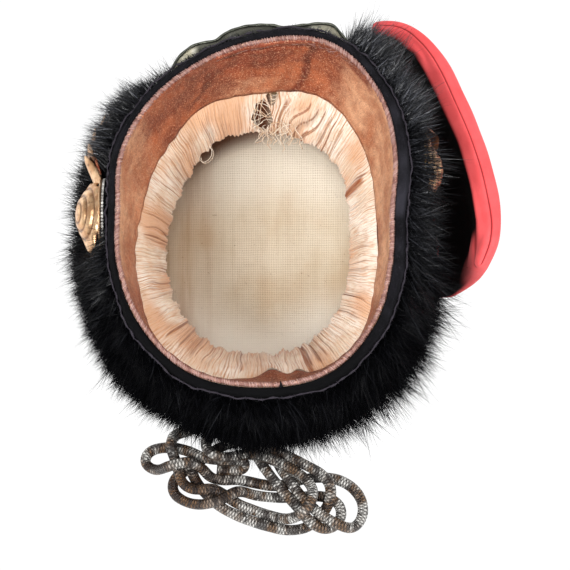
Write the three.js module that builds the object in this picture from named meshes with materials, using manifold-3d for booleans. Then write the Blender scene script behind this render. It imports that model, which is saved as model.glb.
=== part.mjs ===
// A hussar officer's busby lying on its crown, with its chin scales, bag and cap line.
// Millimetres, +Z up. The crown face is z = 0, +Y is the front of the cap, +X the wearer's left.
import * as THREE from "three";
import { mergeVertices } from "three/addons/utils/BufferGeometryUtils.js";
import Module from "manifold-3d";

const wasm = await Module();
wasm.setup();

// Driving sizes
const RING_STEPS = 40;
const RIM_HEIGHT = 155;
const JOINT_GAP = 0.3;
const WALL = 2;
const CROWN_THICK = 3;
const CROWN_BEVEL = 0.8;
const BODY_TOP = 151;
const BODY_FLOOR = CROWN_THICK + JOINT_GAP;
const BODY_FOOT_OUT = 1;
const BODY_TOP_OUT = 6.7;
const BODY_FULL_HEIGHT = 130;

// Radii of the cap's rings by bearing, anticlockwise from the wearer's left, one row each 22.5 degrees
// rim: inner edge of the leather; foot: lower edge of the leather; throat: drawn-in edge of the silk;
// fur: fur at half height, as its locks stand
const RINGS = [
  { rim: 77.4, foot: 71.5, throat: 57.2, fur: 112 },
  { rim: 85.9, foot: 76.5, throat: 60.9, fur: 112 },
  { rim: 98.9, foot: 85.5, throat: 69.7, fur: 115 },
  { rim: 107.7, foot: 93, throat: 71, fur: 122 },
  { rim: 100.2, foot: 86, throat: 70.4, fur: 122 },
  { rim: 92.9, foot: 84, throat: 69, fur: 122 },
  { rim: 88.4, foot: 76, throat: 60, fur: 121 },
  { rim: 84.7, foot: 72, throat: 55.7, fur: 118 },
  { rim: 79.9, foot: 72.5, throat: 56.2, fur: 116 },
  { rim: 85.2, foot: 78, throat: 59.7, fur: 120 },
  { rim: 93.6, foot: 85.5, throat: 65.1, fur: 126 },
  { rim: 101.5, foot: 88.5, throat: 70.4, fur: 127 },
  { rim: 102.6, foot: 87.5, throat: 70.3, fur: 131 },
  { rim: 102.8, foot: 89, throat: 70.9, fur: 130 },
  { rim: 93.5, foot: 86.5, throat: 66.5, fur: 128 },
  { rim: 82.3, foot: 77.5, throat: 60.5, fur: 122 },
];

// Leather, silk and binding
const LEATHER_THICK = 1.6;
const LEATHER_FOOT_HEIGHT = 98;
const LEATHER_EDGE = { out: 2.6, height: 2.4, round: 0.6 };
const LEATHER_WAIST = 0.35;
const SILK_THICK = 1.2;
const SILK_THROAT_HEIGHT = 70;
const SILK_PLEATS = RING_STEPS / 2;
const SILK_PLEAT_DEPTH = 1.3;
const STRING_CHANNEL = 3.4;
const SILK_HEM_SEAT = 0.6;
const BAND_IN = 2.9;
const BAND_OUT = 8.4;
const BAND_TOP = 154;
const BAND_FOOT = 134;
const BAND_ROUND = 2;

// Pelt and its locks
const FUR_FOOT = 9;
const FUR_TOP = 147;
const FUR_TOP_SHARE = 0.8;
const FUR_OVER_BAND = 2.5;
const LOCK = { width: 21, thick: 7, length: 36, bury: 3, lift: 13, sway: 0.35, uneven: 0.2, sides: 4 };
const LOCK_ROWS = [
  { height: 22, count: 25, offset: 0 },
  { height: 46, count: 25, offset: 0.5 },
  { height: 72, count: 25, offset: 0.1 },
  { height: 98, count: 24, offset: 0.6 },
];

// Side ornaments: a rosette on the pelt and a domed boss on the rosette
const SIDE_HEIGHT = 126;
const ROSETTE = { radius: 20.5, height: 3.2, sides: 24 };
const ROSETTE_PROFILE = [
  { out: 0, rise: 0 }, { out: 1, rise: 0 }, { out: 1, rise: 0.5 }, { out: 0.9, rise: 0.8 },
  { out: 0.66, rise: 0.6 }, { out: 0.6, rise: 1 }, { out: 0, rise: 1 },
];
const BOSS = { radius: 18.5, height: 11, sides: 24 };
const BOSS_PROFILE = [
  { out: 0, rise: 0 }, { out: 1, rise: 0 }, { out: 1, rise: 0.11 }, { out: 0.82, rise: 0.38 },
  { out: 0.74, rise: 0.4 }, { out: 0.58, rise: 0.66 }, { out: 0.5, rise: 0.68 },
  { out: 0.28, rise: 0.93 }, { out: 0, rise: 1 },
];
const SIDES = [
  { name: "right", facing: 180, seat: 88.9, y: 4 },
  { name: "left", facing: 0, seat: 97, y: 30 },
];

const TURN = Math.PI * 2;
const radians = THREE.MathUtils.degToRad;

// Smooth value of one column of the ring table at a bearing in radians
function ring(column, bearing) {
  const rows = RINGS.length;
  const place = ((bearing / TURN) % 1 + 1) % 1 * rows;
  const low = Math.floor(place);
  const part = place - low;
  const at = (step) => RINGS[(low + step + rows) % rows][column];
  const [before, here, next, after] = [at(-1), at(0), at(1), at(2)];
  const slope = (next - before) / 2;
  const slopeNext = (after - here) / 2;
  const square = part * part;
  const cube = square * part;
  return (2 * cube - 3 * square + 1) * here + (cube - 2 * square + part) * slope
    + (3 * square - 2 * cube) * next + (cube - square) * slopeNext;
}

const mix = (from, to, share) => from + (to - from) * share;

// Outer radius of the canvas body, which widens a little from crown to rim
function bodyOuter(bearing, height) {
  const share = Math.min((height - BODY_FLOOR) / (BODY_FULL_HEIGHT - BODY_FLOOR), 1);
  return ring("rim", bearing) + mix(BODY_FOOT_OUT, BODY_TOP_OUT, share);
}

// Position-only copy with shared corners, no flat triangles, and its faces outward
function closed(geometry) {
  const plain = geometry.clone();
  for (const name of Object.keys(plain.attributes)) {
    if (name !== "position") plain.deleteAttribute(name);
  }
  const merged = mergeVertices(plain, 1e-4);
  const corners = merged.attributes.position;
  const [a, b, c] = [new THREE.Vector3(), new THREE.Vector3(), new THREE.Vector3()];
  const faces = [];
  let volume = 0;
  for (let at = 0; at < merged.index.count; at += 3) {
    const [i, j, k] = [0, 1, 2].map((step) => merged.index.getX(at + step));
    if (i === j || j === k || k === i) continue;
    faces.push([i, j, k]);
    a.fromBufferAttribute(corners, i);
    b.fromBufferAttribute(corners, j);
    c.fromBufferAttribute(corners, k);
    volume += a.dot(b.cross(c));
  }
  const order = volume < 0 ? ([i, j, k]) => [i, k, j] : (face) => face;
  merged.setIndex(faces.flatMap(order));
  return merged;
}

// Lathe whose section may change with the bearing: sectionAt(bearing) gives [radius, height] pairs.
// A section that starts off the axis is a ring's and closes on itself
function turned(sectionAt, steps) {
  const profileAt = (bearing) => {
    const section = sectionAt(bearing);
    return section[0][0] > 0 ? [...section, section[0]] : section;
  };
  const first = profileAt(0);
  const geometry = new THREE.LatheGeometry(first.map(([r, z]) => new THREE.Vector2(r, z)), steps);
  const corners = geometry.attributes.position;
  for (let step = 0; step <= steps; step += 1) {
    const bearing = TURN * (step % steps) / steps;
    profileAt(bearing).forEach(([radius, height], row) => {
      const at = step * first.length + row;
      corners.setXYZ(at, radius * Math.cos(bearing), radius * Math.sin(bearing), height);
    });
  }
  return closed(geometry);
}

// Box bent by a function of its three shares, each 0 to 1
function bent(alongSteps, acrossSteps, place) {
  const geometry = new THREE.BoxGeometry(1, 1, 1, alongSteps, acrossSteps, 1);
  const corners = geometry.attributes.position;
  for (let at = 0; at < corners.count; at += 1) {
    const point = place(corners.getX(at) + 0.5, corners.getY(at) + 0.5, corners.getZ(at) + 0.5);
    corners.setXYZ(at, point.x, point.y, point.z);
  }
  return closed(geometry);
}

function toManifold(geometry) {
  const shape = closed(geometry);
  return new wasm.Manifold(new wasm.Mesh({
    numProp: 3,
    vertProperties: Float32Array.from(shape.attributes.position.array),
    triVerts: Uint32Array.from(shape.index.array),
  }));
}

function fromManifold(solid) {
  const mesh = solid.getMesh();
  const geometry = new THREE.BufferGeometry();
  geometry.setAttribute("position", new THREE.BufferAttribute(mesh.vertProperties, 3));
  geometry.setIndex(new THREE.BufferAttribute(mesh.triVerts, 1));
  return geometry;
}

// The main body of a cut solid, without the chips that a cut leaves loose
function largest(solid) {
  return solid.decompose().reduce((best, body) => (body.volume() > best.volume() ? body : best));
}

function piece(name, geometry, color, roughness, metalness = 0) {
  const mesh = new THREE.Mesh(geometry, new THREE.MeshStandardMaterial({ color, roughness, metalness }));
  mesh.name = name;
  return mesh;
}

// Crown: a flat cloth disc of the body's oval, with its lower edge bevelled
function crownCloth() {
  return turned((bearing) => {
    const edge = ring("rim", bearing) + BODY_FOOT_OUT;
    return [[0, 0], [edge - CROWN_BEVEL, 0], [edge, CROWN_BEVEL], [edge, CROWN_THICK], [0, CROWN_THICK]];
  }, RING_STEPS);
}

// Inner crown: stiff canvas disc across the whole body
function crownLining() {
  return turned((bearing) => {
    const edge = bodyOuter(bearing, BODY_FLOOR);
    return [[0, BODY_FLOOR], [edge, BODY_FLOOR], [edge, BODY_FLOOR + WALL], [0, BODY_FLOOR + WALL]];
  }, RING_STEPS);
}

// Stiff canvas wall of the body, stood on the inner crown and open at the rim
function bodyLining() {
  const wallFoot = BODY_FLOOR + WALL + JOINT_GAP;
  return turned((bearing) => {
    const foot = bodyOuter(bearing, wallFoot);
    const top = bodyOuter(bearing, BODY_TOP);
    return [
      [foot - WALL, wallFoot], [foot, wallFoot], [top, BODY_FULL_HEIGHT], [top, BODY_TOP],
      [top - WALL, BODY_TOP], [top - WALL, BODY_FULL_HEIGHT],
    ];
  }, RING_STEPS);
}

// Leather band: from the rolled edge at the rim it leans in and hangs down to its foot
function sweatband() {
  return turned((bearing) => {
    const rim = ring("rim", bearing);
    const foot = ring("foot", bearing);
    const edgeFoot = RIM_HEIGHT - LEATHER_EDGE.height;
    const waist = mix(rim, foot, LEATHER_WAIST);
    const waistHeight = mix(RIM_HEIGHT, LEATHER_FOOT_HEIGHT, 0.5);
    return [
      [rim, edgeFoot], [rim + LEATHER_EDGE.round, RIM_HEIGHT],
      [rim + LEATHER_EDGE.out - LEATHER_EDGE.round, RIM_HEIGHT],
      [rim + LEATHER_EDGE.out, edgeFoot], [rim + LEATHER_THICK, edgeFoot - LEATHER_EDGE.round],
      [waist + LEATHER_THICK, waistHeight], [foot + LEATHER_THICK, LEATHER_FOOT_HEIGHT],
      [foot, LEATHER_FOOT_HEIGHT], [waist, waistHeight],
    ];
  }, RING_STEPS);
}

// Binding: black cloth folded over the body's edge, one leg inside and one outside
function rimBand() {
  const legIn = BODY_TOP_OUT - WALL - JOINT_GAP;
  const legOut = BODY_TOP_OUT + JOINT_GAP;
  return turned((bearing) => {
    const rim = ring("rim", bearing);
    return [
      [rim + BAND_IN, BAND_FOOT], [rim + BAND_IN, BAND_TOP - BAND_ROUND / 2],
      [rim + BAND_IN + BAND_ROUND / 2, BAND_TOP], [rim + BAND_OUT - BAND_ROUND, BAND_TOP],
      [rim + BAND_OUT, BAND_TOP - BAND_ROUND], [rim + BAND_OUT, BAND_FOOT],
      [rim + legOut, BAND_FOOT], [rim + legOut, BODY_TOP + JOINT_GAP],
      [rim + legIn, BODY_TOP + JOINT_GAP], [rim + legIn, BAND_FOOT],
    ];
  }, RING_STEPS);
}

// Silk ring: sewn under the leather's foot and gathered in to the drawstring channel,
// with a torn hole and a small second one at the front
const SILK_HOLES = [
  [[-4, 75], [-1, 82], [4, 84.5], [8, 79], [9.5, 74], [3, 70.5]],
  [[5, 86], [9, 90.5], [12.5, 87], [10.5, 82], [7, 81.5]],
];

function silkLining() {
  const sheet = turned((bearing) => {
    const foot = ring("foot", bearing);
    const throat = ring("throat", bearing);
    const ripple = SILK_PLEAT_DEPTH * Math.cos(bearing * SILK_PLEATS);
    const belly = mix(foot, throat, 0.45);
    const bellyHeight = mix(LEATHER_FOOT_HEIGHT, SILK_THROAT_HEIGHT, 0.5) + 1;
    const hem = LEATHER_FOOT_HEIGHT - JOINT_GAP;
    const channelLip = STRING_CHANNEL / 2;
    return [
      [foot + SILK_HEM_SEAT + SILK_THICK, hem], [foot + SILK_HEM_SEAT, hem],
      [belly, bellyHeight + ripple],
      [throat + channelLip, SILK_THROAT_HEIGHT + channelLip + ripple / 2], [throat, SILK_THROAT_HEIGHT],
      [throat + channelLip / 2, SILK_THROAT_HEIGHT - channelLip],
      [throat + STRING_CHANNEL, SILK_THROAT_HEIGHT - channelLip],
      [belly + SILK_THICK, bellyHeight - SILK_THICK + ripple],
    ];
  }, RING_STEPS);
  let solid = toManifold(sheet);
  for (const outline of SILK_HOLES) {
    const shape = new THREE.Shape(outline.map(([x, y]) => new THREE.Vector2(x, y)));
    const punch = new THREE.ExtrudeGeometry(shape, { depth: RIM_HEIGHT, bevelEnabled: false });
    solid = solid.subtract(toManifold(punch));
  }
  return fromManifold(solid);
}

// Outer radius of the pelt's backing, below the locks: share of the fur radius by height
const FUR_PROFILE = [
  { height: 16, share: 0.86 },
  { height: 30, share: 0.925 },
  { height: 60, share: 0.955 },
  { height: 90, share: 0.948 },
  { height: 98, share: 0.94 },
  { height: 108, share: 0.925 },
  { height: 120, share: 0.9 },
  { height: 138, share: 0.845 },
];

// Front of the pelt is pressed flat behind the scroll badge
const BADGE_BEARING = { from: radians(56), to: radians(124), soft: radians(12) };
const BADGE_SEAT_OUT = 10.4;
const BADGE_SEAT_HEIGHT = { from: 86, to: 107 };

function smooth(value, from, to) {
  return THREE.MathUtils.smoothstep(value, from, to);
}

function badgePress(bearing, height) {
  const turn = ((bearing % TURN) + TURN) % TURN;
  const { from, to, soft } = BADGE_BEARING;
  const across = smooth(turn, from - soft, from) * (1 - smooth(turn, to, to + soft));
  return across * smooth(height, BADGE_SEAT_HEIGHT.from, BADGE_SEAT_HEIGHT.to);
}

function furOuter(bearing, height, share) {
  const free = Math.max(ring("fur", bearing) * share, ring("rim", bearing) + BAND_OUT + FUR_OVER_BAND);
  const pressed = ring("rim", bearing) + BADGE_SEAT_OUT;
  return mix(free, pressed, badgePress(bearing, height));
}

function furBacking() {
  return turned((bearing) => {
    const rim = ring("rim", bearing);
    const bandSide = rim + BAND_OUT + JOINT_GAP;
    const top = furOuter(bearing, FUR_TOP, FUR_TOP_SHARE);
    const outer = FUR_PROFILE.map(({ height, share }) => [furOuter(bearing, height, share), height]);
    return [
      [bodyOuter(bearing, FUR_FOOT) + JOINT_GAP, FUR_FOOT], ...outer,
      [Math.max(top, bandSide + WALL), FUR_TOP], [bandSide, FUR_TOP],
      [bandSide, BAND_FOOT - JOINT_GAP], ...[BAND_FOOT - JOINT_GAP, BODY_FULL_HEIGHT].map(
        (height) => [bodyOuter(bearing, height) + JOINT_GAP, height]),
    ];
  }, RING_STEPS);
}

// Share of the fur radius at a height, read from the profile
function profileShare(height) {
  const above = FUR_PROFILE.findIndex((row) => row.height >= height);
  const [low, high] = [FUR_PROFILE[above - 1], FUR_PROFILE[above]];
  return THREE.MathUtils.mapLinear(height, low.height, high.height, low.share, high.share);
}

// Steady scatter between -1 and 1 for lock number n
function scatter(n) {
  const value = Math.sin(n * 12.9898) * 43758.5453;
  return 2 * (value - Math.floor(value)) - 1;
}

const polar = (radius, bearing, height) => new THREE.Vector3(
  radius * Math.cos(bearing), radius * Math.sin(bearing), height);

// One pointed lock, rooted in the backing and leaning outward and toward the rim
function lock(bearing, height, number) {
  const radius = furOuter(bearing, height, profileShare(height)) - LOCK.bury;
  const outward = polar(1, bearing, 0);
  const sway = polar(1, bearing + Math.PI / 2, 0).multiplyScalar(LOCK.sway * scatter(-number));
  const long = LOCK.length * (1 + LOCK.uneven * scatter(number));
  const axis = new THREE.Vector3(0, 0, long).addScaledVector(outward.clone().add(sway), LOCK.lift);
  const length = axis.length();
  axis.normalize();
  const across = new THREE.Vector3().crossVectors(axis, outward).normalize();
  const thickWay = new THREE.Vector3().crossVectors(across, axis);
  const cone = new THREE.ConeGeometry(1, 1, LOCK.sides, 1);
  cone.translate(0, 0.5, 0);
  cone.scale(LOCK.width / 2, length, LOCK.thick / 2);
  const root = polar(radius, bearing, height);
  cone.applyMatrix4(new THREE.Matrix4().makeBasis(across, axis, thickWay).setPosition(root));
  return cone;
}

// Where the chin scales lie round the front, on the pelt: height by bearing. Each end starts at a boss
const CHIN_LINE = [
  { bearing: 42, height: 113 },
  { bearing: 62, height: 97 },
  { bearing: 90, height: 92 },
  { bearing: 120, height: 98 },
  { bearing: 145, height: 114 },
  { bearing: 157, height: 121 },
];
const CHIN = {
  clear: 2.4, strapWidth: 13, strapThick: 1.6, scaleWidth: 18, scaleLong: 14, scaleThick: 1.4, arch: 3,
  pitch: 11.2,
};
const CHIN_MEET = { left: 91, right: 91.5 };
const SCALE = { overlap: 0.4, footRise: 0.2, tipRise: 1.1, sink: 0.6, tipNarrow: 0.82 };

// Middle of the strap's end, just clear of a boss's front edge
function bossEdge({ facing, seat, y }) {
  const out = seat + ROSETTE.height + 2 * JOINT_GAP + CHIN.strapThick / 2;
  return new THREE.Vector3(out * Math.cos(radians(facing)), y + BOSS.radius + CHIN.clear, SIDE_HEIGHT);
}

const onPelt = ({ bearing, height }) => {
  const angle = radians(bearing);
  return polar(furOuter(angle, height, profileShare(height)), angle, height);
};
const [rightSide, leftSide] = SIDES;
const chinCurve = new THREE.CatmullRomCurve3(
  [bossEdge(leftSide), ...CHIN_LINE.map(onPelt), bossEdge(rightSide)], false, "centripetal");

// Share along the chin line at a bearing in degrees
function chinShare(bearing) {
  let [low, high] = [0, 1];
  for (let pass = 0; pass < 24; pass += 1) {
    const middle = (low + high) / 2;
    const point = chinCurve.getPointAt(middle);
    const there = THREE.MathUtils.radToDeg(Math.atan2(point.y, point.x));
    if (there < bearing) low = middle;
    else high = middle;
  }
  return low;
}

// Point near the chin line, or past its ends: offset across the strap and outward from it
const chinLength = chinCurve.getLength();

function nearChin(share, across, outward) {
  const clamped = THREE.MathUtils.clamp(share, 0, 1);
  const along = chinCurve.getTangentAt(clamped);
  const point = chinCurve.getPointAt(clamped).addScaledVector(along, (share - clamped) * chinLength);
  const level = new THREE.Vector3(point.x, point.y, 0).normalize();
  const side = new THREE.Vector3().crossVectors(along, level).normalize();
  const out = new THREE.Vector3().crossVectors(side, along);
  return point.addScaledVector(side, across).addScaledVector(out, outward);
}

// One half of the chin strap: a leather strap carrying overlapping arched scales, fused to it
function chinScales({ start, end, scales }) {
  const strap = bent(16, 1, (along, across, depth) => nearChin(
    mix(start, end, along), (across - 0.5) * CHIN.strapWidth, (depth - 0.5) * CHIN.strapThick));
  let solid = toManifold(strap);
  const reach = CHIN.scaleLong / CHIN.pitch / scales;
  for (let number = 0; number < scales; number += 1) {
    const first = number / scales * (1 - reach * SCALE.overlap);
    const scale = bent(1, 2, (along, across, depth) => {
      const share = mix(start, end, Math.min(first + along * reach, 1));
      const arch = CHIN.arch * (1 - (2 * across - 1) ** 2);
      const rise = CHIN.strapThick * mix(SCALE.footRise, SCALE.tipRise, along) + arch - SCALE.sink;
      const width = CHIN.scaleWidth * mix(1, SCALE.tipNarrow, along);
      return nearChin(share, (across - 0.5) * width, rise + depth * CHIN.scaleThick);
    });
    solid = solid.add(toManifold(scale));
  }
  return fromManifold(solid);
}

// Room for the chin strap, cut into the pelt along the chin line
const CHIN_GROOVE = { halfWidth: 11, floor: -1.2, reach: 30, overrun: 0.03 };

function chinGroove() {
  const { halfWidth, floor, reach, overrun } = CHIN_GROOVE;
  return bent(24, 1, (along, across, depth) => nearChin(
    mix(-overrun, 1 + overrun, along), (across * 2 - 1) * halfWidth, mix(floor, reach, depth)));
}

// Side frame: x right along the pelt, z outward, with its origin on the pelt's seat
function sideFrame({ facing, seat, y }) {
  const group = new THREE.Group();
  const outward = polar(1, radians(facing), 0);
  group.position.set(seat * outward.x, y, SIDE_HEIGHT);
  group.rotation.set(Math.PI / 2, 0, radians(facing) + Math.PI / 2, "ZXY");
  group.updateMatrixWorld(true);
  return group;
}

const POCKET = { extra: 2.6, reach: 40, sides: 24 };

function sidePocket(side) {
  const radius = ROSETTE.radius + POCKET.extra;
  const pocket = new THREE.CylinderGeometry(radius, radius, POCKET.reach, POCKET.sides);
  pocket.rotateX(Math.PI / 2);
  pocket.translate(0, 0, POCKET.reach / 2);
  return pocket.applyMatrix4(sideFrame(side).matrixWorld);
}

// Pelt: backing with the locks fused on, and room cut for the rosettes and the chin strap
function fur() {
  let solid = toManifold(furBacking());
  let number = 0;
  for (const { height, count, offset } of LOCK_ROWS) {
    for (let step = 0; step < count; step += 1) {
      number += 1;
      const bearing = TURN * (step + offset + LOCK.uneven * scatter(number)) / count;
      if (badgePress(bearing, height + LOCK.length) > 0.01) continue;
      solid = solid.add(toManifold(lock(bearing, height, number)));
    }
  }
  for (const side of SIDES) solid = solid.subtract(toManifold(sidePocket(side)));
  solid = solid.subtract(toManifold(chinGroove()));
  return fromManifold(largest(solid));
}

// Turned ornament, its section given as shares of its radius and height
function ornament(profile, { radius, height, sides }) {
  const section = profile.map(({ out, rise }) => new THREE.Vector2(out * radius, rise * height));
  const geometry = new THREE.LatheGeometry(section, sides);
  geometry.rotateX(Math.PI / 2);
  return closed(geometry);
}

const rosette = () => ornament(ROSETTE_PROFILE, ROSETTE);
const boss = () => ornament(BOSS_PROFILE, BOSS);

// Scroll badge: thin sheet waved in plan; its ends return to the pelt
const SCROLL = { thick: 1.2, low: 108, high: 137, sag: 4, steps: 30, endFrom: 119.5, endTo: 62 };
const SCROLL_PLAN = [
  { x: -46.3, y: 97 }, { x: -36.4, y: 104.8 }, { x: -24.9, y: 107.6 }, { x: -19.1, y: 112 },
  { x: -7.8, y: 116.2 }, { x: 7.4, y: 117.2 }, { x: 16, y: 115.8 }, { x: 28.1, y: 117.3 },
  { x: 44.3, y: 116.9 }, { x: 49.8, y: 110.8 },
];

function scrollBadge() {
  const seated = (bearing) => polar(
    ring("rim", radians(bearing)) + BADGE_SEAT_OUT + SCROLL.thick / 2 + JOINT_GAP, radians(bearing), 0);
  const plan = SCROLL_PLAN.map(({ x, y }) => new THREE.Vector3(x, y, 0));
  const line = new THREE.CatmullRomCurve3(
    [seated(SCROLL.endFrom), ...plan, seated(SCROLL.endTo)], false, "centripetal");
  return bent(SCROLL.steps, 2, (along, up, depth) => {
    const point = line.getPointAt(along);
    const way = line.getTangentAt(along);
    const out = (depth - 0.5) * SCROLL.thick;
    const drop = SCROLL.sag * (2 * along - 1) ** 2;
    const height = mix(SCROLL.low + drop, SCROLL.high, up);
    return new THREE.Vector3(point.x + way.y * out, point.y - way.x * out, height);
  });
}

// Bag: from the crown's edge it passes under the pelt, turns up beside it and ends in a padded roll
const BAG_ROOT = { from: 60, to: -12, gap: JOINT_GAP };
const BAG_EDGE = { thinned: 0.55, sharpness: 8, slopeStep: 0.02 };
const BAG_END = [
  { x: 70, y: 119 }, { x: 86, y: 118 }, { x: 103, y: 104 }, { x: 117, y: 78 },
  { x: 128, y: 50 }, { x: 135.5, y: 18 }, { x: 136, y: -3 }, { x: 129, y: -24 },
];
const BAG_RISE = [
  { out: 0, height: 2.2, thick: 2.6 }, { out: 0.3, height: 2.4, thick: 2.8 },
  { out: 0.68, height: 4.6, thick: 4 }, { out: 0.86, height: 17, thick: 6 },
  { out: 0.95, height: 42, thick: 8 }, { out: 1, height: 70, thick: 10 },
  { out: 1, height: 95, thick: 13 }, { out: 1, height: 108, thick: 12 },
  { out: 0.985, height: 114, thick: 6 },
];
const bagEnd = new THREE.CatmullRomCurve3(
  BAG_END.map(({ x, y }) => new THREE.Vector3(x, y, 0)), false, "centripetal");

function bagPoint(along, up) {
  const bearing = radians(mix(BAG_ROOT.from, BAG_ROOT.to, along));
  const root = polar(ring("rim", bearing) + BODY_FOOT_OUT + BAG_ROOT.gap, bearing, 0);
  const end = bagEnd.getPointAt(along);
  const place = Math.min(up, 1) * (BAG_RISE.length - 1);
  const low = Math.min(Math.floor(place), BAG_RISE.length - 2);
  const pick = (column) => mix(BAG_RISE[low][column], BAG_RISE[low + 1][column], place - low);
  const point = root.lerp(end, pick("out"));
  point.z = pick("height");
  return { point, thick: pick("thick") };
}

function bag() {
  return bent(14, BAG_RISE.length - 1, (along, up, depth) => {
    const step = BAG_EDGE.slopeStep;
    const { point, thick } = bagPoint(along, up);
    const behind = bagPoint(Math.max(along - step, 0), up).point;
    const ahead = bagPoint(Math.min(along + step, 1), up).point;
    const below = bagPoint(along, Math.max(up - step, 0)).point;
    const above = bagPoint(along, Math.min(up + step, 1)).point;
    const out = new THREE.Vector3().crossVectors(above.sub(below), ahead.sub(behind)).normalize();
    const rounded = 1 - BAG_EDGE.thinned * (2 * along - 1) ** BAG_EDGE.sharpness;
    return point.addScaledVector(out, (depth - 0.5) * thick * rounded);
  });
}

// Cap line: one flecked cord in three lengths on the floor behind the cap. Points are x, y, z of its middle
const CORD = { diameter: 6, sides: 8 };
const CAP_LINE = {
  cap_line_outer: { steps: 35, points: [
    [-9, -105, 3.7], [-4, -116.5, 3.7], [2, -128, 3.9], [9.5, -139, 9.3], [17.5, -149, 11.3],
    [26, -158, 10.8], [32.5, -166, 10.7], [40.5, -171, 8.3], [48.5, -169.5, 3.7],
    [53.5, -163, 3.7], [52, -155, 3.7], [41.5, -150, 3.7], [28.5, -150.5, 3.7], [14, -151, 3.7],
    [-1.5, -149.5, 4.3], [-12, -147.5, 10.9], [-22.5, -153, 11.8], [-34.5, -156, 9.3],
    [-45.5, -153.5, 4.3], [-53, -148, 3.7], [-53, -140, 3.7], [-45.5, -134, 3.7],
    [-36.5, -128, 3.7], [-28.5, -122, 5.3], [-18.5, -117.5, 8.3], [-7.5, -115.5, 10.7],
    [9, -120.5, 10.7], [29.5, -130.5, 10.7], [41, -137, 10.7], [46.5, -144.5, 11.3],
    [46, -153, 10.7], [41.5, -161, 4.3], [32, -169.5, 3.7], [19.5, -171.5, 3.7], [4, -168, 3.7],
    [-12, -162.5, 3.7], [-23.5, -156.5, 3.7], [-31.5, -149.5, 3.7], [-38.5, -141, 5],
    [-41.5, -134.5, 9.3],
  ] },
  cap_line_inner: { steps: 26, points: [
    [4.5, -104.8, 3.7], [8, -115.5, 3.7], [14, -130.5, 3.7], [21, -141.5, 10.3],
    [27.5, -150.5, 11.3], [34.5, -157.5, 10.9], [41.5, -163.5, 11.3], [51, -168.5, 10.7],
    [60.5, -170.5, 5.3], [66.5, -163.5, 3.7], [66.5, -153, 3.7], [60, -144, 3.7],
    [50, -139, 3.7], [38.5, -138, 3.7], [28, -139.5, 3.7], [18.5, -142.5, 3.7],
    [10.5, -143.5, 3.7], [0.5, -142, 3.7], [-12, -139.5, 3.7], [-22.5, -140, 3.9],
    [-29.5, -138.5, 6.3], [-34, -134, 12.5], [-42, -130, 17.3], [-53.5, -132, 16.5],
    [-65, -133.5, 3.9], [-71.5, -129, 3.7], [-69, -122, 3.7], [-58, -119, 3.7],
    [-45.5, -121, 6.3], [-32.5, -127, 11.9], [-18, -128, 10.3], [-8, -127.5, 6.3],
    [-7.5, -132.5, 3.9], [-16, -133.5, 3.9], [-25.5, -133, 4.3],
  ] },
  cap_line_knot: { steps: 20, points: [
    [-29.5, -100.8, 3.7], [-30.5, -111.5, 3.9], [-32.5, -119.5, 13.3], [-27, -126.5, 18.9],
    [-17, -127, 17.3], [-5.5, -124.5, 13.3], [9, -127.5, 11.9], [19, -132.5, 12.3],
    [29, -138.5, 11.3], [35, -146, 13.3], [34.5, -154, 18.3], [30, -161, 19.8],
    [22, -165, 12.3], [12.5, -163.5, 3.9], [-1.5, -159, 3.7], [-12, -155, 3.7],
    [-20, -149.5, 3.6], [-29, -146, 11.8], [-38.5, -147, 11.8], [-46.5, -143.5, 10.5],
    [-49, -137.5, 11.3], [-51, -129, 7.9], [-53.5, -123.5, 12], [-54.5, -117.5, 12.3],
    [-52.5, -111.5, 7.3], [-45, -109, 3.9], [-38.5, -106, 3.7], [-36, -99.8, 3.7],
  ] },
};

function cord({ steps, points }) {
  const route = new THREE.CatmullRomCurve3(
    points.map(([x, y, z]) => new THREE.Vector3(x, y, z)), false, "centripetal");
  const section = new THREE.Shape();
  for (let side = 0; side < CORD.sides; side += 1) {
    const turn = TURN * side / CORD.sides;
    const [x, y] = [Math.cos(turn) * CORD.diameter / 2, Math.sin(turn) * CORD.diameter / 2];
    if (side === 0) section.moveTo(x, y);
    else section.lineTo(x, y);
  }
  return closed(new THREE.ExtrudeGeometry(section, { steps, extrudePath: route, bevelEnabled: false }));
}

const busby = new THREE.Group();
busby.add(piece("crown_cloth", crownCloth(), 0xb3202c, 0.95));
busby.add(piece("bag", bag(), 0xd2333b, 0.95));
busby.add(piece("crown_lining", crownLining(), 0xdccfba, 0.9));
busby.add(piece("body_lining", bodyLining(), 0xdccfba, 0.9));
busby.add(piece("fur", fur(), 0x141417, 0.7));
busby.add(piece("rim_band", rimBand(), 0x1d1d22, 0.95));
busby.add(piece("sweatband", sweatband(), 0xb9734b, 0.55));
busby.add(piece("silk_lining", silkLining(), 0xead4b8, 0.5));
busby.add(piece("scroll_badge", scrollBadge(), 0x3a3833, 0.45, 0.9));
for (const side of SIDES) {
  const frame = sideFrame(side);
  const rosetteMesh = piece(`cockade_${side.name}`, rosette(), 0x8e8a86, 0.7);
  rosetteMesh.position.z = JOINT_GAP;
  const bossMesh = piece(`boss_${side.name}`, boss(), 0xc9a066, 0.3, 1);
  bossMesh.position.z = ROSETTE.height + 2 * JOINT_GAP;
  frame.add(rosetteMesh, bossMesh);
  busby.add(frame);
}
const chinHalves = {
  chin_scales_right: { start: 1, end: chinShare(CHIN_MEET.right), scales: 14 },
  chin_scales_left: { start: 0, end: chinShare(CHIN_MEET.left), scales: 12 },
};
for (const [name, half] of Object.entries(chinHalves)) {
  busby.add(piece(name, chinScales(half), 0xc49a5c, 0.35, 1));
}
for (const [name, line] of Object.entries(CAP_LINE)) busby.add(piece(name, cord(line), 0x8b857c, 0.6));

export default busby;
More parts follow.
